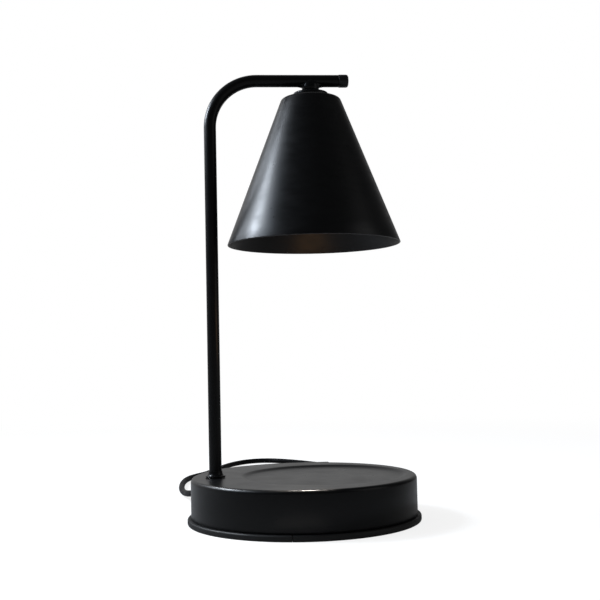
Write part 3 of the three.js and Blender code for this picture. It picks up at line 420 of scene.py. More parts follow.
def bar(name, start, end, half_width, low, high):
    """A flat bar along X."""
    outline = [(start, -half_width), (end, -half_width), (end, half_width), (start, half_width)]
    return loft(name, [[(x, y, z) for x, y in outline] for z in (low, high)])


def carved(piece, tools, crease=CREASE):
    """Cuts the tools out of the piece, and removes them."""
    for tool in tools:
        modifier = piece.modifiers.new("carve", "BOOLEAN")
        modifier.operation = "DIFFERENCE"
        modifier.object = tool
        modifier.solver = "EXACT"
    graph = bpy.context.evaluated_depsgraph_get()
    shaped = bpy.data.meshes.new_from_object(piece.evaluated_get(graph))
    piece.modifiers.clear()
    piece.data = shaped
    for tool in tools:
        bpy.data.objects.remove(tool)
    shaped.shade_smooth()
    shaped.set_sharp_from_angle(angle=radians(crease))
    return piece


def rings_along(path, radius, sides):
    """Rings square to a path, carried along it without twist."""
    path = [Vector(point) for point in path]
    last = len(path) - 1
    ahead = [(path[min(i + 1, last)] - path[max(i - 1, 0)]).normalized() for i in range(last + 1)]
    side = ahead[0].orthogonal().normalized()
    rings = []
    for place, forward in zip(path, ahead):
        side = (side - forward * side.dot(forward)).normalized()
        up = forward.cross(side)
        rings.append([place + (side * cos(a) + up * sin(a)) * radius for a in around(sides)])
    return rings


def through(route, step):
    """Points a step apart on the smooth curve through a route."""
    points = [Vector(point) for point in route]
    points = [2 * points[0] - points[1], *points, 2 * points[-1] - points[-2]]
    path = []
    for a, b, c, d in zip(points, points[1:], points[2:], points[3:]):
        before, across, after = (sqrt((q - p).length) for p, q in ((a, b), (b, c), (c, d)))
        start = (b - a) / before - (c - a) / (before + across) + (c - b) / across
        end = (c - b) / across - (d - b) / (across + after) + (d - c) / after
        start, end = start * across, end * across
        count = max(2, round((c - b).length / step))
        for i in range(count):
            t = i / count
            path.append(b + start * t + (3 * (c - b) - 2 * start - end) * t ** 2
                        + (2 * (b - c) + start + end) * t ** 3)
    return [*path, points[-2]]


def length_of(path):
    return sum(dist(a, b) for a, b in zip(path, path[1:]))


# Materials

def new_material(name):
    material = bpy.data.materials.new(name)
    material.use_nodes = True
    return material, material.node_tree


def node(tree, kind, settings=None, **inputs):
    """A shader node, with its inputs linked or set by name, an underscore for each space."""
    made = tree.nodes.new("ShaderNode" + kind)
    for name, value in (settings or {}).items():
        setattr(made, name, value)
    fill(tree, made, **inputs)
    return made


def fill(tree, made, **inputs):
    for name, value in inputs.items():
        give(tree, made.inputs[name.replace("_", " ")], value)


def give(tree, socket, value):
    """Links a socket to another, or sets it to a plain value."""
    if isinstance(value, bpy.types.NodeSocket):
        tree.links.new(value, socket)
    else:
        socket.default_value = value


def finish(name, color, roughness, metallic=0.0, specular=0.5, tone=0.12, tone_size=0.03,
           rough_change=0.05, grain=0.00001, grain_size=0.0006, stretch=(1, 1, 1)):
    """A surface with soft patches of colour and gloss, and a fine grain in relief."""
    material, tree = new_material(name)
    place = node(tree, "TexCoord").outputs["Object"]
    spread = node(tree, "Mapping", Vector=place, Scale=stretch).outputs["Vector"]
    patches = node(tree, "TexNoise", Vector=spread, Scale=1 / tone_size, Detail=6,
                   Roughness=0.6).outputs["Fac"]
    shades = node(tree, "Mix", {"data_type": "RGBA"}, Factor=patches,
                  A=(*[c * (1 - tone) for c in color], 1), B=(*[c * (1 + tone) for c in color], 1))
    gloss = node(tree, "MapRange", Value=patches, From_Min=0.3, From_Max=0.7,
                 To_Min=roughness - rough_change, To_Max=roughness + rough_change)
    fine = node(tree, "TexNoise", Vector=spread, Scale=1 / grain_size, Detail=3)
    relief = node(tree, "Bump", Height=fine.outputs["Fac"], Distance=grain)
    fill(tree, tree.nodes["Principled BSDF"], Metallic=metallic, Specular_IOR_Level=specular,
         Base_Color=shades.outputs["Result"], Roughness=gloss.outputs["Result"],
         Normal=relief.outputs["Normal"])
    return material


def clear_glass(name, roughness=0.02):
    material, tree = new_material(name)
    smears = node(tree, "TexNoise", Vector=node(tree, "TexCoord").outputs["Object"], Scale=90)
    gloss = node(tree, "MapRange", Value=smears.outputs["Fac"], To_Min=roughness,
                 To_Max=roughness * 4)
    fill(tree, tree.nodes["Principled BSDF"], Base_Color=(0.95, 0.97, 0.97, 1), IOR=1.47,
         Transmission_Weight=1.0, Roughness=gloss.outputs["Result"])
    return material


def painted_highlight_below(material, height, color, wander=0.0006, fade=0.0004, ragged_size=0.004):
    """Paints a highlight: a lighter band along the lowest edge of a piece, with an uneven upper
    limit.
    """
    tree = material.node_tree
    base = tree.nodes["Principled BSDF"].inputs["Base Color"]
    place = node(tree, "TexCoord").outputs["Object"]
    level = node(tree, "SeparateXYZ", Vector=place).outputs["Z"]
    ragged = node(tree, "TexNoise", Vector=place, Scale=1 / ragged_size).outputs["Fac"]
    jagged = combined(tree, "MULTIPLY_ADD", ragged, wander, level)
    limit = node(tree, "MapRange", Value=jagged, From_Min=height + fade, From_Max=height)
    blend = node(tree, "Mix", {"data_type": "RGBA"}, Factor=limit.outputs["Result"],
                 A=base.links[0].from_socket, B=(*color, 1))
    give(tree, base, blend.outputs["Result"])


def combined(tree, operation, *values):
    made = node(tree, "Math", {"operation": operation})
    for socket, value in zip(made.inputs, values):
        give(tree, socket, value)
    return made.outputs[0]


paint = finish("black_paint", (0.0035, 0.0037, 0.0041), 0.30, specular=0.18, tone=0.10,
               tone_size=0.02, rough_change=0.03, grain=0.000006, grain_size=0.0007)
shade_paint = finish("black_paint_shade", (0.0035, 0.0037, 0.0043), 0.33, specular=0.25, tone=0.14,
                     tone_size=0.009, rough_change=0.06, grain_size=0.0025, stretch=(0.7, 0.7, 2.4))
# Painted highlight: a lighter grey band along the shade's rim, where the rim catches light.
painted_highlight_below(shade_paint, BALL.z - SHADE_RIM_DEPTH + RIM_HIGHLIGHT_HEIGHT, (0.05, 0.052, 0.056))
rubber = finish("black_rubber", (0.008, 0.0082, 0.0085), 0.55, specular=0.25, tone=0.25,
                tone_size=0.006, rough_change=0.08, grain=0.00005, grain_size=0.0009)
jacket = finish("cord_jacket", (0.0035, 0.0035, 0.004), 0.45, specular=0.05,
                tone_size=0.01, grain=0.000015, grain_size=0.0008)
plastic = finish("black_plastic", (0.006, 0.006, 0.0065), 0.42, specular=0.3, tone=0.1,
                 tone_size=0.015, grain=0.00003, grain_size=0.0004)
zinc = finish("zinc_steel", (0.52, 0.53, 0.54), 0.32, metallic=1.0, tone_size=0.004,
              rough_change=0.1, grain=0.000008, grain_size=0.0003, stretch=(1, 1, 4))
brass = finish("plug_brass", (0.62, 0.44, 0.17), 0.28, metallic=1.0, tone_size=0.005,
               rough_change=0.08, grain=0.000006, grain_size=0.0003, stretch=(0.3, 1, 1))
casting = finish("cast_ballast", (0.07, 0.07, 0.075), 0.7, metallic=0.6, tone=0.3, tone_size=0.01,
                 grain=0.0001, grain_size=0.0015)
ceramic = finish("ceramic_white", (0.74, 0.72, 0.66), 0.6, tone=0.06, tone_size=0.008,
                 grain=0.00003)
mirror = finish("reflector_mirror", (0.80, 0.79, 0.76), 0.12, metallic=1.0, tone=0.05,
                tone_size=0.01, rough_change=0.03, grain=0.000004, grain_size=0.0005)
board = finish("board_green", (0.03, 0.13, 0.05), 0.45, tone=0.15, tone_size=0.004)
brown = finish("live_brown", (0.10, 0.045, 0.02), 0.5, tone=0.1, tone_size=0.004)
blue = finish("neutral_blue", (0.02, 0.06, 0.18), 0.5, tone=0.1, tone_size=0.004)
glass = clear_glass("clear_glass")
tungsten = finish("filament_wire", (0.35, 0.34, 0.33), 0.4, metallic=1.0, tone=0.1, tone_size=0.001)
mark_paint = finish("mark_white", (0.62, 0.62, 0.60), 0.5, tone=0.05, tone_size=0.003)


def dress(piece, material, *stands_for, body="root", slot=None):
    """Gives a piece its material, and makes it move with a body and stand for nodes."""
    piece.data.materials.clear()
    piece.data.materials.append(material)
    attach(piece, body)
    if stands_for:
        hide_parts(*stands_for)
    return piece


# Lead, made before the other pieces

def make_lead():
    path = through(LEAD_ROUTE, CORD_STEP)
    piece = loft("lead_run", rings_along(path, CORD_DIAMETER / 2, CORD_SIDES))
    return dress(piece, jacket, "cord_run", slot="cord_jacket"), path


def coil_point(turn):
    inward = min(turn, COIL_TURNS_PER_LAYER)
    outward = max(turn - COIL_TURNS_PER_LAYER - 0.5, 0)
    climb = turn - inward - outward
    radius = COIL_OUTER - COIL_PITCH * (inward - outward)
    angle = pi - 2 * pi * turn
    height = CORD_FLOOR + COIL_RISE * (1 - cos(2 * pi * climb)) / 2
    return COIL_PLACE + Vector((radius * cos(angle), radius * sin(angle), height))


def make_rest_of_lead():
    turns = 2 * COIL_TURNS_PER_LAYER + 0.5
    count = round(turns * COIL_STEPS_PER_TURN)
    coil = [coil_point(turns * i / count) for i in range(count + 1)]
    tail = coil[-1] + Vector((CORD_DIAMETER + GAP + TAIL_LENGTH, 0, 0))
    link = [*LINK_ROUTE, coil[0] - Vector((0, CORD_DIAMETER / 2, 0))]
    path = [*through(link, CORD_STEP), *coil,
            *[coil[-1].lerp(tail, share) for share in (0.25, 0.5, 0.75, 1)]]
    piece = loft("lead_coil", rings_along(path, CORD_DIAMETER / 2, CORD_SIDES))
    dress(piece, jacket, "cord_link", "cord_coil", "cord_tail", slot="cord_jacket")
    return piece, path


lead, lead_path = make_lead()
rest, rest_path = make_rest_of_lead()
plug_place = rest_path[-1] + Vector((GAP, 0, 0))


# Base

def level_rings(sink):
    """Rings of the drum's top, or of its underside, from the recess's middle out to the edge."""
    floor = DRUM_TOP - RECESS_DEPTH - sink
    soft = RECESS_SLOPE / 4
    rings = [circle(RECESS_RADIUS * share, floor, RECESS_X) for share in (0, 0.3, 0.6, 0.85, 0.97)]
    for step in range(11):
        share = step / 10
        lift = share * share * (3 - 2 * share)
        radius = RECESS_RADIUS - soft + (RECESS_SLOPE + 2 * soft) * share
        rings.append(circle(radius, floor + RECESS_DEPTH * lift, RECESS_X))
    start, end = RECESS_RADIUS + RECESS_SLOPE + soft, DRUM_RADIUS - DRUM_ROUND
    for share in (0.25, 0.5, 0.75, 0.95):
        rings.append(circle(start + (end - start) * share, DRUM_TOP - sink, RECESS_X * (1 - share)))
    return rings


def make_drum():
    middle, turn = DRUM_RADIUS - DRUM_ROUND, DRUM_TOP - DRUM_ROUND
    lip = DRUM_WALL / 3
    edge = [
        *arc(middle, turn, DRUM_ROUND, 90, 0, 12),
        (DRUM_RADIUS, DRUM_FOOT + lip), (DRUM_RADIUS - lip / 3, DRUM_FOOT + lip / 3),
        (DRUM_RADIUS - lip, DRUM_FOOT), (DRUM_RADIUS - DRUM_WALL + lip, DRUM_FOOT),
        (DRUM_RADIUS - DRUM_WALL, DRUM_FOOT + lip),
        *arc(middle, turn, DRUM_ROUND - DRUM_WALL, 0, 90, 6),
    ]
    drum = loft("drum", [*level_rings(0), *[circle(r, z) for r, z in edge],
                         *reversed(level_rings(DRUM_WALL))])
    holes = [cutter(TUBE_RADIUS + GAP, DRUM_TOP / 2, DRUM_TOP * 2, (POST_X, 0, 0)),
             radial(cutter(BUSH_RADIUS + GAP, DRUM_RADIUS * 0.8, DRUM_RADIUS * 1.2))]
    dress(carved(drum, holes), paint, "base_shell")
    inner, low, high = SCREW_RADIUS + GAP, PLATE_HIGH + GAP, DRUM_TOP - DRUM_WALL
    for i, angle in enumerate(BOSS_ANGLES):
        boss = turned(f"drum_boss_{i + 1}", [
            (inner, low), (BOSS_RADIUS, low), (BOSS_RADIUS, high), (inner, high),
        ])
        dress(moved(boss, on_circle(BOSS_CIRCLE, angle)), paint)


def on_circle(radius, angle):
    turn = radians(angle)
    return Vector((radius * cos(turn), radius * sin(turn), 0))


def radial(piece):
    """Turns a piece made along Z to lie along the cord's way out of the drum."""
    return moved(spun(along_x(piece), BUSH_ANGLE), (0, 0, BUSH_HEIGHT))


def make_plate():
    soft = (PLATE_HIGH - PLATE_LOW) / 5
    plate = turned("bottom_plate", [
        (0, PLATE_LOW), (PLATE_RADIUS, PLATE_LOW, soft), (PLATE_RADIUS, PLATE_HIGH, soft),
        (0, PLATE_HIGH),
    ], ROUND_SIDES, crease=10)
    holes = []
    for name in ("plate_screw_1", "plate_screw_2", "plate_screw_3", "ballast_screw_1",
                 "ballast_screw_2", "terminal_block_screw", "cord_clamp_screw"):
        low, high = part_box(name)
        place = Vector(((low.x + high.x) / 2, (low.y + high.y) / 2, 0))
        holes.append(cutter(SCREW_RADIUS + GAP, 0, TRIM_HEIGHT, place))
        screw = cross_head_screw(name + "_head", high.z - low.z)
        dress(moved(screw, place + Vector((0, 0, low.z))), zinc, name)
    dress(carved(plate, holes, crease=10), paint, "base_plate")


def cross_head_screw(name, length, head=SCREW_HEAD_RADIUS):
    """A pan-head screw that points up, its head at the bottom with a cross recess."""
    tall = SCREW_HEAD_HEIGHT
    screw = turned(name, [
        (0, 0), (head * 0.8, 0, tall * 0.3), (head, tall * 0.6, tall * 0.3),
        (head, tall, tall * 0.1), (SCREW_RADIUS, tall), (SCREW_RADIUS, length - SCREW_RADIUS / 2),
        (SCREW_RADIUS / 2, length), (0, length),
    ], TINY_SIDES)
    half = head * 0.55
    return carved(screw, [spun(bar("slot", -half, half, head * 0.13, -tall, tall * 0.6), turn)
                          for turn in (0, pi / 2)])


def make_trim():
    inner, slot = TRIM_RADIUS - TRIM_LIP, TRIM_RADIUS - TRIM_WEB
    soft = TRIM_ROUND / 4
    outline = softened([
        (inner, 0, soft), (TRIM_RADIUS, 0, TRIM_ROUND), (TRIM_RADIUS, TRIM_HEIGHT, TRIM_ROUND),
        (inner, TRIM_HEIGHT, soft), (inner, PLATE_HIGH + GAP), (slot, PLATE_HIGH + GAP),
        (slot, PLATE_LOW - GAP), (inner, PLATE_LOW - GAP),
    ], 5)
    half = TRIM_SEAM / 2 / TRIM_RADIUS
    start = radians(TRIM_SEAM_ANGLE) + half
    turns = [start + (2 * pi - 2 * half) * i / ROUND_SIDES for i in range(ROUND_SIDES + 1)]
    rings = [[(r * cos(a), r * sin(a), z) for r, z in outline] for a in turns]
    dress(loft("rubber_trim", rings), rubber, "edge_trim")


def make_bush():
    hole = DRUM_RADIUS - DRUM_WALL
    inside = hole - BUSH_FLANGE_WALL
    start, end = DRUM_RADIUS + GAP + BUSH_FLANGE_WALL, DRUM_RADIUS + BUSH_TAIL
    profile = [
        (0, inside - BUSH_SPIGOT), (BUSH_RADIUS, inside - BUSH_SPIGOT, EDGE_MIDDLE),
        (BUSH_RADIUS, inside - GAP), (BUSH_FLANGE, inside - GAP, EDGE_SMALL),
        (BUSH_FLANGE, hole - 2 * GAP, EDGE_SMALL), (BUSH_RADIUS, hole - 2 * GAP),
        (BUSH_RADIUS, DRUM_RADIUS + GAP), (BUSH_FLANGE, DRUM_RADIUS + GAP, EDGE_SMALL),
        (BUSH_FLANGE, start, EDGE_LARGE),
    ]
    for i in range(BUSH_RIBS):
        low = start + (end - start) * (i + 0.15) / BUSH_RIBS
        high = start + (end - start) * (i + 0.85) / BUSH_RIBS
        taper = BUSH_RADIUS + (BUSH_TIP - BUSH_RADIUS) * (i + 0.5) / BUSH_RIBS
        groove, soft = taper - BUSH_RIB_DEPTH, EDGE_SMALL / 2
        profile += [(groove, low), (taper, low + EDGE_SMALL, soft),
                    (taper, high - EDGE_SMALL, soft), (groove, high)]
    profile += [(CORD_DIAMETER / 2 + GAP / 3, end), (0, end)]
    dress(radial(turned("lead_bush", profile)), rubber, "cord_bush")


make_drum()
make_plate()
make_trim()
make_bush()


# Post and arm

def post_path():
    bend = arc(POST_X + BEND_RADIUS, ARM_HEIGHT - BEND_RADIUS, BEND_RADIUS, 180, 90, 40)
    rise = ARM_HEIGHT - BEND_RADIUS - TUBE_FOOT
    upright = [(POST_X, TUBE_FOOT + rise * i / 12) for i in range(12)]
    tip = ARM_END_X - END_CAP_LENGTH - GAP
    start = POST_X + BEND_RADIUS
    level = [(start + (tip - start) * i / 6, ARM_HEIGHT) for i in range(1, 7)]
    return [Vector((x, 0, z)) for x, z in [*upright, *bend, *level]]


def make_post():
    path = post_path()
    outer = rings_along(path, TUBE_RADIUS, SMALL_SIDES)
    inner = rings_along(path, TUBE_RADIUS - TUBE_WALL, SMALL_SIDES)
    tube = loft("post", [*outer, *reversed(inner)], closed=True)
    hole = cutter(WIRE_HOLE_RADIUS, -2 * TUBE_RADIUS, 0, (BALL.x, 0, ARM_HEIGHT), HOLE_SIDES)
    dress(carved(tube, [hole]), paint, "post_tube")


def make_collar():
    foot, bore = DRUM_TOP + GAP, TUBE_RADIUS + GAP / 3
    start, top = COLLAR_RADIUS - COLLAR_STEP, foot + COLLAR_HEIGHT
    flare = [(start - (start - bore - COLLAR_LIP) * sin(a),
              top - (COLLAR_HEIGHT - COLLAR_BEAD) * cos(a)) for a in quarter(8)]
    collar = turned("post_foot", [
        (bore, foot), (COLLAR_RADIUS, foot, EDGE_MIDDLE),
        (COLLAR_RADIUS, foot + COLLAR_BEAD, EDGE_LARGE), *flare, (bore, top),
    ])
    dress(moved(collar, (POST_X, 0, 0)), paint, "post_collar")


def make_end_cap():
    start, bore = ARM_END_X - END_CAP_LENGTH, TUBE_RADIUS - TUBE_WALL - GAP
    cap = turned("arm_end", [
        (0, start - END_CAP_SPIGOT), (bore, start - END_CAP_SPIGOT), (bore, start),
        (END_CAP_RADIUS, start, EDGE_SMALL), (END_CAP_RADIUS, ARM_END_X, END_CAP_ROUND),
        (0, ARM_END_X),
    ])
    dress(moved(along_x(cap), (0, 0, ARM_HEIGHT)), plastic, "arm_end_cap")


make_post()
make_collar()
make_end_cap()


# Ball swivel

def angle_at(height, radius):
    return degrees(asin(height / radius))


def arm_cutter(clearance):
    arm = along_x(cutter(TUBE_RADIUS + clearance, -ARM_CUT_HALF, ARM_CUT_HALF))
    return moved(arm, (BALL.x, 0, ARM_HEIGHT))


def make_ball():
    inner = BALL_RADIUS - BALL_WALL
    low = -BALL_SEAM_DEPTH + GAP / 2
    top = turned("ball_upper", [
        *arc(0, 0, BALL_RADIUS, angle_at(low, BALL_RADIUS), BALL_OPENING, 14),
        *arc(0, 0, inner, BALL_OPENING, angle_at(low, inner), 10),
    ])
    dress(carved(moved(top, BALL), [arm_cutter(GAP / 10)]), paint, "swivel_ball_top")
    high = -BALL_SEAM_DEPTH - GAP / 2
    bottom = turned("ball_lower", [
        *arc(0, 0, BALL_RADIUS, -BALL_OPENING, angle_at(high, BALL_RADIUS), 14),
        *arc(0, 0, inner, angle_at(high, inner), -BALL_OPENING, 10),
    ])
    half = STUD_RADIUS + GAP
    ends = [(z, half / cos(TILT_LIMIT) - z * tan(TILT_LIMIT)) for z in (0, -BALL_SLOT_DEPTH)]
    slot = loft("slot", [[(-half, -y, z), (half, -y, z), (half, y, z), (-half, y, z)]
                         for z, y in ends])
    dress(carved(moved(bottom, BALL), [moved(slot, BALL)]), paint, "swivel_ball_bottom")


def make_saddle():
    """The thin flare where the ball's upper half meets the underside of the arm."""
    drop, start = ARM_HEIGHT - BALL.z, BALL_RADIUS * 0.97
    rings = []
    for step in range(9):
        share = step / 8
        reach = start + (SADDLE_REACH - start) * share ** 1.6
        wide = start + (SADDLE_HALF_WIDTH - start) * share
        ring = []
        for turn in around(SMALL_SIDES):
            x, y = reach * cos(turn), wide * sin(turn)
            under = drop - sqrt(max(TUBE_RADIUS ** 2 - y ** 2, 0))
            rise = (under + SADDLE_FOOT + GAP / 5) * share
            ring.append(BALL + Vector((x, y, rise - SADDLE_FOOT)))
        rings.append(ring)
    high = ARM_HEIGHT - TUBE_RADIUS + OVERRUN
    saddle = loft("arm_saddle", [*rings, [(p.x, p.y * 0.5, high) for p in rings[-1]]])
    half_wall = BALL_RADIUS - BALL_WALL / 2
    core = turned("core", arc(0, 0, half_wall, -90, 90, 16))
    dress(carved(saddle, [arm_cutter(0), moved(core, BALL)]), paint, slot="black_paint")


def make_cap():
    top, under = -CAP_TOP_DEPTH, -CAP_TOP_DEPTH - CAP_THICKNESS
    seat, bore = BALL_RADIUS + GAP, STUD_RADIUS + GAP
    low = -sqrt(seat ** 2 - bore ** 2)
    cap = turned("shade_cap_cover", [
        (bore, under - CAP_HUB_LENGTH), (CAP_HUB_RADIUS, under - CAP_HUB_LENGTH, EDGE_FINE),
        (CAP_HUB_RADIUS, under), (CAP_RADIUS, under, EDGE_SMALL), (CAP_RADIUS, top, CAP_ROUND),
        *arc(0, 0, seat, angle_at(top, seat), angle_at(low, seat), 10),
    ], MIDDLE_SIDES)
    dress(moved(cap, BALL), paint, "shade_cap", body="head")


make_ball()
make_saddle()
make_cap()


# Shade

def make_shade():
    rim, base = SHADE_RIM_RADIUS, -SHADE_RIM_DEPTH
    shoulder, below = SHADE_SHOULDER_RADIUS, -SHADE_SHOULDER_DEPTH
    across = SHADE_WALL * hypot(1, (rim - shoulder) / (below - base))
    crown = -CAP_TOP_DEPTH - CAP_THICKNESS - GAP
    hole, soft = CAP_HUB_RADIUS + GAP, SHADE_WALL * 0.45
    wall = [(shoulder + (rim - shoulder) * i / 10, below + (base - below) * i / 10)
            for i in range(1, 10)]
    outline = [
        (hole, crown), (SHADE_CROWN_RADIUS, crown, SHADE_CROWN_ROUND),
        (shoulder, below, SHADE_SHOULDER_ROUND), *wall, (rim, base, soft),
        (rim - across, base, soft), *[(r - across, z) for r, z in reversed(wall)],
        (shoulder - across, below - SHADE_WALL * 0.6, SHADE_SHOULDER_ROUND - SHADE_WALL),
        (SHADE_CROWN_RADIUS - SHADE_WALL / 4, crown - SHADE_WALL, SHADE_CROWN_ROUND),
        (hole, crown - SHADE_WALL),
    ]
    shade = moved(turned("cone_shade", outline, ROUND_SIDES), BALL)
    dress(shade, shade_paint, "shade", body="head", slot="black_paint")


def make_ring_nut():
    top = -CAP_TOP_DEPTH - CAP_THICKNESS - GAP - SHADE_WALL - GAP
    low, hole, rim = top - RING_NUT_HEIGHT, CAP_HUB_RADIUS + GAP, RING_NUT_RADIUS
    nut = turned("ring_nut", [
        (hole, low), (rim, low, EDGE_MIDDLE), (rim, top, EDGE_SMALL), (hole, top),
    ], MIDDLE_SIDES)
    notches = [spun(bar("notch", rim - NOTCH_DEPTH, rim + OVERRUN, NOTCH_HALF_WIDTH, low - OVERRUN,
                        top + OVERRUN), pi / 2 * i) for i in range(4)]
    dress(moved(carved(nut, notches), BALL), zinc, "shade_ring_nut", body="head")


make_shade()
make_ring_nut()


# Lamp holder and bulb

def make_holder():
    top, low = -HOLDER_TOP_DEPTH, -HOLDER_TOP_DEPTH - HOLDER_HEIGHT
    deep, waist = HOLDER_GROOVE_DEPTH, HOLDER_RADIUS - HOLDER_GROOVE_DEPTH
    start, end = low + HOLDER_GROOVE_START, low + HOLDER_GROOVE_START + HOLDER_GROOVE_WIDTH
    holder = turned("holder", [
        (0, low), (HOLDER_RADIUS, low, HOLDER_ROUND), (HOLDER_RADIUS, start, EDGE_MIDDLE),
        (waist, start + deep), (waist, end - deep), (HOLDER_RADIUS, end, EDGE_MIDDLE),
        (HOLDER_RADIUS, top, HOLDER_ROUND), (0, top),
    ], MIDDLE_SIDES)
    holes = [cutter(PIN_SLOT_RADIUS, low - OVERRUN, low + PIN_SLOT_DEPTH,
                    on_circle(PIN_CIRCLE, side + turn))
             for side in (0, 180) for turn in PIN_SLOT_TURNS]
    near, far = BRACKET_SCREW_END, HOLDER_RADIUS + OVERRUN
    sides = [moved(along_x(cutter(SCREW_RADIUS + GAP, *ends)), (0, 0, -BRACKET_SCREW_DEPTH))
             for ends in ((-far, -near), (near, far))]
    wires = [cutter(HOLDER_WIRE_RADIUS, top - HOLDER_HEIGHT / 3, 0, (0, y, 0))
             for y in (-HOLDER_WIRE_Y, HOLDER_WIRE_Y)]
    holder = moved(carved(holder, [*holes, *sides, *wires]), BALL)
    dress(holder, ceramic, "lamp_holder", body="head")


def make_bracket_screws():
    for name, turn in (("bracket_screw_1", 0), ("bracket_screw_2", pi)):
        low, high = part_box(name)
        screw = spun(cross_head_screw(name + "_head", high.x - low.x), pi, "Y")
        spun(along_x(moved(screw, (0, 0, BRACKET_HALF + GAP + 2 * SCREW_HEAD_HEIGHT))), turn)
        dress(moved(screw, BALL - Vector((0, 0, BRACKET_SCREW_DEPTH))), zinc, name, body="head")


def make_bulb():
    top = -HOLDER_TOP_DEPTH - HOLDER_HEIGHT - GAP
    low, waist = top - BULB_BASE_HEIGHT, BULB_NECK_RADIUS * 0.9
    neck = turned("bulb_neck", [
        (0, low), (BULB_NECK_RADIUS, low, EDGE_MIDDLE),
        (BULB_NECK_RADIUS, top - BULB_BASE_HEIGHT * 0.55, HOLDER_ROUND),
        (waist, top - BULB_BASE_HEIGHT * 0.45, HOLDER_ROUND), (waist, top, HOLDER_ROUND), (0, top),
    ], MIDDLE_SIDES)
    roots = [cutter(SCREW_RADIUS + GAP, top - PIN_ROOT_DEPTH, top + OVERRUN, (x, 0, 0))
             for x in (-PIN_CIRCLE, PIN_CIRCLE)]
    dress(moved(carved(neck, roots), BALL), ceramic, "bulb_base", body="bulb")

    start = low - GAP
    outer = [(REFLECTOR_RADIUS * across, start - REFLECTOR_HEIGHT * down)
             for across, down in REFLECTOR_SHARES]
    inner = [(r - REFLECTOR_WALL, max(z, start - REFLECTOR_HEIGHT)) for r, z in reversed(outer[1:])]
    rings = [circle(r, z, sides=REFLECTOR_FACETS * 4) for r, z in smooth_outline(outer, 4)]
    for r, z in [*inner, (REFLECTOR_HOLE, start - REFLECTOR_WALL), (REFLECTOR_HOLE, start)]:
        ring = circle(r, z, sides=REFLECTOR_FACETS)
        rings.append([ring[i // 4].lerp(ring[(i // 4 + 1) % len(ring)], i % 4 / 4)
                      for i in range(len(ring) * 4)])
    reflector = moved(loft("bulb_mirror", rings, closed=True, crease=12), BALL)
    dress(reflector, mirror, "bulb_reflector", body="bulb")

    rim = start - REFLECTOR_HEIGHT - GAP
    lens = turned("bulb_front", [
        (0, rim - LENS_THICKNESS), (REFLECTOR_RADIUS, rim - LENS_THICKNESS, EDGE_MIDDLE),
        (REFLECTOR_RADIUS, rim, EDGE_SMALL), (0, rim),
    ], LENS_SIDES)
    dress(moved(lens, BALL), glass, "bulb_lens", body="bulb")
    make_capsule(start)


def smooth_outline(points, steps):
    """More points between those of an outline, on a smooth curve through them."""
    path = through([(r, 0, z) for r, z in points], length_of(points) / len(points) / steps)
    return [(p.x, p.z) for p in path]


def make_capsule(start):
    low, radius, wall = start - CAPSULE_LENGTH, CAPSULE_RADIUS, CAPSULE_WALL
    neck, shoulder = radius * CAPSULE_NECK_SHARE, start - CAPSULE_SHOULDER
    outer = [*arc(0, low + radius, radius, -90, 0, 10), (radius, shoulder), (neck, start)]
    inner = [(neck - wall, start), (radius - wall, shoulder),
             *arc(0, low + radius, radius - wall, 0, -90, 10)]
    capsule = turned("bulb_capsule_glass", [*outer, *inner], TINY_SIDES)
    dress(moved(capsule, BALL), glass, "bulb_capsule", body="bulb")
    count = FILAMENT_TURNS * FILAMENT_STEPS
    helix = []
    for i in range(count + 1):
        turn = 2 * pi * i / FILAMENT_STEPS
        helix.append(Vector((
            FILAMENT_HALF_LENGTH * (2 * i / count - 1), FILAMENT_COIL_RADIUS * cos(turn),
            low + FILAMENT_HEIGHT + FILAMENT_COIL_RADIUS * sin(turn),
        )))
    ends = [Vector((helix[i].x, 0, start - FILAMENT_END)) for i in (0, -1)]
    wire = loft("bulb_filament", rings_along([ends[0], *helix, ends[1]], FILAMENT_RADIUS, 6))
    dress(moved(wire, BALL), tungsten, body="bulb", slot="zinc_steel")


make_holder()
make_bracket_screws()
make_bulb()


# Dimmer

def stadium(inset, height):
    wide, tall = DIMMER_LENGTH / 2 - inset, DIMMER_WIDTH / 2 - inset
    return [(*point, height) for point in rounded(wide, tall, tall - GAP, 12)]


def half_shell(name, edge, seam, wall, holes):
    """One half of the dimmer's housing, from its rounded edge to the groove along its seam."""
    toward = copysign(1, seam - edge[0][1])
    lip = seam - toward * GAP / 2
    rings = [stadium(inset, height) for inset, height in [
        *edge, (0, lip - toward * DIMMER_GROOVE), (DIMMER_GROOVE, lip), (DIMMER_WALL, lip),
        (DIMMER_WALL, wall),
    ]]
    mouth = along_x(cutter(CORD_DIAMETER / 2 + GAP, -DIMMER_LENGTH, DIMMER_LENGTH))
    return carved(loft(name, rings), [moved(mouth, (0, 0, seam)), *holes])


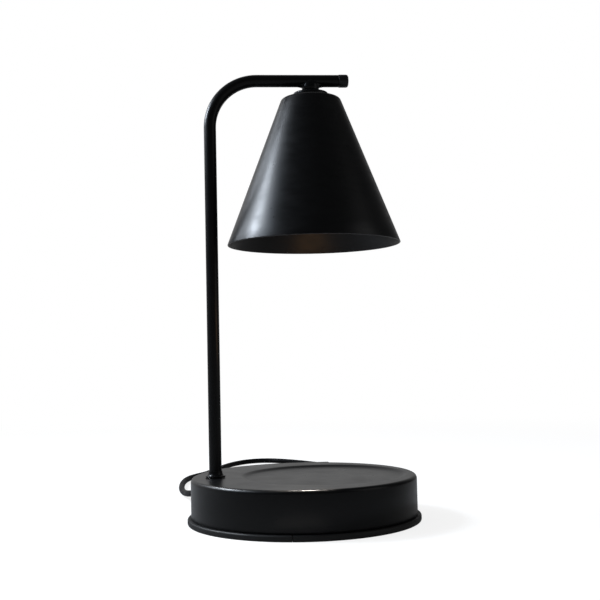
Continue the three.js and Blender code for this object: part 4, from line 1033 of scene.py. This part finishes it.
def make_dimmer():
    edge = [(DIMMER_EDGE * (1 - sin(a)), DIMMER_EDGE * (1 - cos(a))) for a in quarter(6)]
    spread = (-DIMMER_SCREW_SPREAD, DIMMER_SCREW_SPREAD)
    wells = [cutter(SCREW_HEAD_RADIUS - GAP, -DIMMER_WALL, DIMMER_WALL, (x, 0, 0)) for x in spread]
    bottom = half_shell("dimmer_base", edge, DIMMER_SPLIT, DIMMER_WALL, wells)
    shaft = cutter(DIAL_SHAFT + GAP, DIMMER_SPLIT, DIMMER_HEIGHT * 2)
    cover = half_shell("dimmer_cover", [(inset, DIMMER_HEIGHT - height) for inset, height in edge],
                       DIMMER_SPLIT, DIMMER_HEIGHT - DIMMER_WALL, [shaft])
    marks = dial_marks()
    for piece, of_node in ((bottom, "dimmer_bottom"), (cover, "dimmer_top")):
        dress(moved(piece, DIMMER_PLACE), plastic, of_node)
    dress(moved(marks, DIMMER_PLACE), mark_paint, slot="black_plastic")
    screws = []
    for i, x in enumerate(spread):
        screw = cross_head_screw(f"dimmer_fixing_{i + 1}", DIMMER_SCREW_LENGTH,
                                 SCREW_HEAD_RADIUS - 2 * GAP)
        place = DIMMER_PLACE + Vector((x, 0, DIMMER_WALL - GAP - SCREW_HEAD_HEIGHT))
        dress(moved(screw, place), zinc, f"dimmer_screw_{i + 1}")
        screws.append(screw)
    return [bottom, cover, marks, *screws, make_dial()]


def dial_marks():
    """Plain strokes round the dial that grow from low to high, with no lettering."""
    points, faces = [], []
    for i in range(MARK_COUNT):
        turn = radians(MARK_FIRST - MARK_STEP * i)
        near = DIAL_RADIUS + MARK_GAP
        far = near + MARK_LENGTH + MARK_GROWTH * i
        if abs(sin(turn)) * far > DIMMER_WIDTH / 2 - DIMMER_EDGE:
            continue
        out = Vector((cos(turn), sin(turn), 0))
        side = Vector((-out.y, out.x, 0)) * MARK_HALF_WIDTH
        first = len(points)
        for height in (DIMMER_HEIGHT - MARK_SINK, DIMMER_HEIGHT + MARK_RISE):
            points += [out * r + side * way + Vector((0, 0, height))
                       for r, way in ((near, -1), (far, -1), (far, 1), (near, 1))]
        corners = [(0, 1, 2, 3), (4, 5, 6, 7), (0, 1, 5, 4), (1, 2, 6, 5), (2, 3, 7, 6),
                   (3, 0, 4, 7)]
        faces += [[first + corner for corner in face] for face in corners]
    return solid("dimmer_marks", points, faces)


def make_dial():
    low, high = DIMMER_HEIGHT + GAP, DIMMER_HEIGHT + GAP + DIAL_HEIGHT

    def grip_ring(radius, height, depth=0.0):
        return [Vector((cos(a), sin(a), 0))
                * (radius - depth * (1 - cos(DIAL_GRIPS * a)) / 2) + Vector((0, 0, height))
                for a in around(DIAL_GRIPS * 10)]

    depth, soft, floor = DIAL_GRIP_DEPTH, DIAL_ROUND, high - DIAL_DISH
    rings = [grip_ring(DIAL_SHAFT, low - DIAL_SHAFT_LENGTH), grip_ring(DIAL_SHAFT, low),
             grip_ring(DIAL_RADIUS - soft / 3, low, depth),
             grip_ring(DIAL_RADIUS, low + soft / 3, depth)]
    for step, turn in enumerate(quarter(6)):
        rings.append(grip_ring(DIAL_RADIUS - soft * (1 - cos(turn)),
                               high - soft * (1 - sin(turn)), depth * (1 - step / 6)))
    rings += [grip_ring(DIAL_RADIUS * share, height) for share, height in (
        (0.86, high), (0.82, high - DIAL_DISH / 2), (0.78, floor), (0.4, floor))]
    rings.append([(0, 0, floor)])
    dial = loft("dimmer_knob", rings)
    dress(moved(dial, DIMMER_PLACE), plastic, "dimmer_dial", body="dial")
    line = bar("dimmer_pointer", *POINTER_ENDS, POINTER_HALF_WIDTH, floor - MARK_SINK,
               floor + POINTER_RISE)
    dress(moved(line, DIMMER_PLACE), mark_paint, body="dial", slot="black_plastic")
    return dial


dimmer_pieces = make_dimmer()


# Plug

def plug_ring(x, half_width, half_height, corner):
    corner = min(corner, half_width * 0.999, half_height * 0.999)
    return [(x, *point) for point in rounded(half_width, half_height, corner, 6)]


def make_plug():
    half, wide, end = plug_place.z - PLUG_LIFT, PLUG_WIDTH / 2, PLUG_RELIEF + PLUG_LENGTH
    rings = []
    for i in range(PLUG_RIBS):
        rib = PLUG_TIP * (1 + 0.5 * (i + 0.5) / PLUG_RIBS)
        groove = rib - PLUG_RIB_DEPTH
        low, high = (PLUG_RELIEF * (i + share) / PLUG_RIBS for share in (0.08, 0.8))
        rings += [plug_ring(x, size, size, size) for x, size in (
            (low, groove), (low + EDGE_FINE, rib), (high - EDGE_FINE, rib), (high, groove))]
    neck = PLUG_TIP * 1.5
    body = [
        (0, neck, neck, neck), (0.12, neck * 1.15, neck * 1.08, neck),
        (0.3, wide * 0.72, half * 0.86, 0.004), (0.5, wide * 0.93, half * 0.97, 0.0038),
        (0.75, wide, half, 0.0034), (1.4, wide, half, PLUG_END_CORNER),
    ]
    rings += [plug_ring(PLUG_RELIEF + 2 * PLUG_CORNER * share, across, tall, corner)
              for share, across, tall, corner in body]
    rings += [plug_ring(end - back, wide - shrink, half - shrink, PLUG_END_CORNER)
              for back, shrink in PLUG_END_STEPS]
    plug = loft("plug_housing", rings)
    slots = []
    for name in ("plug_blade_1", "plug_blade_2"):
        low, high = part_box(name)
        grow = Vector((0, GAP, GAP))
        low, high = low - grow - plug_place - Vector((GAP, 0, 0)), high + grow - plug_place
        outline = [(low.y, low.z), (high.y, low.z), (high.y, high.z), (low.y, high.z)]
        slots.append(loft("slot", [[(x, y, z) for y, z in outline] for x in (low.x, high.x)]))
    dress(moved(carved(plug, slots), plug_place), plastic, "plug_body")
    return plug


plug = make_plug()


# The CAD pieces that stay get their own materials

KEPT = {
    zinc: ["post_lock_washer", "post_nut", "swivel_stud", "swivel_washer", "swivel_nut",
           "holder_bracket", "bulb_pin_1", "bulb_pin_2"],
    casting: ["ballast_weight"],
    ceramic: ["terminal_block"],
    jacket: ["cord_jacket_inside"],
    plastic: ["cord_clamp", "dimmer_pot"],
    board: ["dimmer_board"],
    brass: ["plug_blade_1", "plug_blade_2"],
    brown: ["mains_lead_live", "arm_lead_live", "head_lead_live"],
    blue: ["mains_lead_neutral", "arm_lead_neutral", "head_lead_neutral"],
}
for material, names in KEPT.items():
    for name in names:
        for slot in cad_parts[name].material_slots:
            slot.material = material


# Studio. The floor and the world are white to the camera and dimmer in reflections.

FLOOR_HALF = 9.0
FLOOR_COLOR = (0.32, 0.32, 0.32, 1)
FLOOR_LIFT = 0.78
FLOOR_GLOSS = 0.30
FLOOR_GLOSS_NEAR = 0.2
FLOOR_NEAR = 0.38
FLOOR_FAR = 1.1
WORLD_LEVEL = 0.42
GLOSS_LOW = 0.05
GLOSS_HIGH = 0.46
GLOSS_SIDE = Vector((-0.45, 0.87, 0.2))
GLOSS_FADE = (0.2, 0.98)
COOL = (0.82, 0.90, 1.0)
MIDDLE = (0.0, 0.0, 0.20)


def shown_and_mirrored(tree):
    """Two switches: what the camera sees, also through glass, and what reflections see."""
    rays = node(tree, "LightPath").outputs
    return (combined(tree, "MAXIMUM", rays["Is Camera Ray"], rays["Is Transmission Ray"]),
            rays["Is Glossy Ray"])


def blended(tree, factor, low, high):
    return node(tree, "Mix", Factor=factor, A=low, B=high).outputs["Result"]


def faded(tree, value, start, end):
    """A factor that runs smoothly from 0 to 1 as the value goes from start to end."""
    return node(tree, "MapRange", {"interpolation_type": "SMOOTHSTEP"}, Value=value,
                From_Min=start, From_Max=end).outputs["Result"]


def make_floor():
    corners = [(FLOOR_HALF * x, FLOOR_HALF * y, 0) for x, y in ((-1, -1), (1, -1), (1, 1), (-1, 1))]
    mesh = bpy.data.meshes.new("floor")
    mesh.from_pydata(corners, [], [(0, 1, 2, 3)])
    floor = bpy.data.objects.new("floor", mesh)
    scene.collection.objects.link(floor)
    material, tree = new_material("floor")
    tree.nodes.remove(tree.nodes["Principled BSDF"])
    matt = node(tree, "BsdfDiffuse", Color=FLOOR_COLOR)
    shown, mirrored = shown_and_mirrored(tree)
    reflected = combined(tree, "MULTIPLY", mirrored, FLOOR_GLOSS)
    lift = combined(tree, "ADD", combined(tree, "MULTIPLY", shown, FLOOR_LIFT),
                    combined(tree, "MULTIPLY", reflected, FLOOR_GLOSS_NEAR))
    glow = node(tree, "Emission", Strength=lift)
    near = tree.nodes.new("ShaderNodeAddShader")
    white = node(tree, "Emission", Strength=combined(tree, "ADD", shown, reflected))
    away = node(tree, "VectorMath", {"operation": "LENGTH"})
    give(tree, away.inputs[0], node(tree, "TexCoord").outputs["Object"])
    ends = node(tree, "MixShader", Fac=faded(tree, away.outputs["Value"], FLOOR_NEAR, FLOOR_FAR))
    for socket, part in ((near.inputs[0], matt), (near.inputs[1], glow), (ends.inputs[1], near),
                         (ends.inputs[2], white)):
        give(tree, socket, part.outputs[0])
    fill(tree, tree.nodes["Material Output"], Surface=ends.outputs[0])
    mesh.materials.append(material)


def make_world():
    """White to the camera and through glass. Matt surfaces see it at WORLD_LEVEL, and
    reflections see it lighter behind on the left and dim elsewhere."""
    world = bpy.data.worlds.new("studio")
    scene.world = world
    world.use_nodes = True
    tree = world.node_tree
    shown, mirrored = shown_and_mirrored(tree)
    facing = node(tree, "VectorMath", {"operation": "DOT_PRODUCT"})
    give(tree, facing.inputs[0], node(tree, "TexCoord").outputs["Generated"])
    facing.inputs[1].default_value = GLOSS_SIDE.normalized()
    light = faded(tree, facing.outputs["Value"], *GLOSS_FADE)
    room = blended(tree, light, GLOSS_LOW, GLOSS_HIGH)
    level = blended(tree, shown, blended(tree, mirrored, WORLD_LEVEL, room), 1.0)
    fill(tree, tree.nodes["Background"], Color=(1, 1, 1, 1), Strength=level)


def lamp(name, kind, place, aim, power, color):
    light = bpy.data.lights.new(name, kind)
    light.energy = power
    light.color = color
    stand = bpy.data.objects.new(name, light)
    stand.location = place
    stand.rotation_mode = "QUATERNION"
    stand.rotation_quaternion = (Vector(aim) - Vector(place)).to_track_quat("-Z", "Y")
    stand.visible_camera = False
    scene.collection.objects.link(stand)
    return light


def softbox(name, place, aim, size, power, color=(1, 1, 1)):
    light = lamp(name, "AREA", place, aim, power, color)
    light.shape = "RECTANGLE"
    light.size, light.size_y = size


def beam(name, place, aim, spread, radius, power, color):
    """A narrow spot. Its spread is the angle in degrees from its middle to its edge."""
    light = lamp(name, "SPOT", place, aim, power, color)
    light.spot_size = radians(2 * spread)
    light.spot_blend = 0.5
    light.shadow_soft_size = radius


make_floor()
make_world()
softbox("window", (-0.66, 0.13, 0.62), MIDDLE, (0.20, 0.20), 6.3, COOL)
softbox("window_far", (-0.56, 0.46, 0.58), MIDDLE, (0.24, 0.30), 0.9, COOL)
softbox("window_near", (-0.655, -0.115, 0.61), MIDDLE, (0.20, 0.24), 1.1, (0.72, 0.84, 1.0))
softbox("fill", (0.85, -0.35, 0.45), (0.0, 0.0, 0.18), (0.5, 0.7), 0.65)
softbox("under_shade", (0.012, -0.03, 0.13), (0.0, 0.055, 0.195), (0.05, 0.05), 0.012,
        (1.0, 0.50, 0.16))
beam("edge_left", (-0.484, 0.362, 0.634), (-0.051, -0.057, 0.030), 3.2, 0.03, 19.0,
     (0.90, 0.95, 1.0))
beam("edge_front", (0.0066, 0.0, 0.186), (-0.0075, -0.070, 0.030), 8.0, 0.005, 2.25,
     (1.0, 0.92, 0.84))

scene.view_settings.view_transform = "Standard"
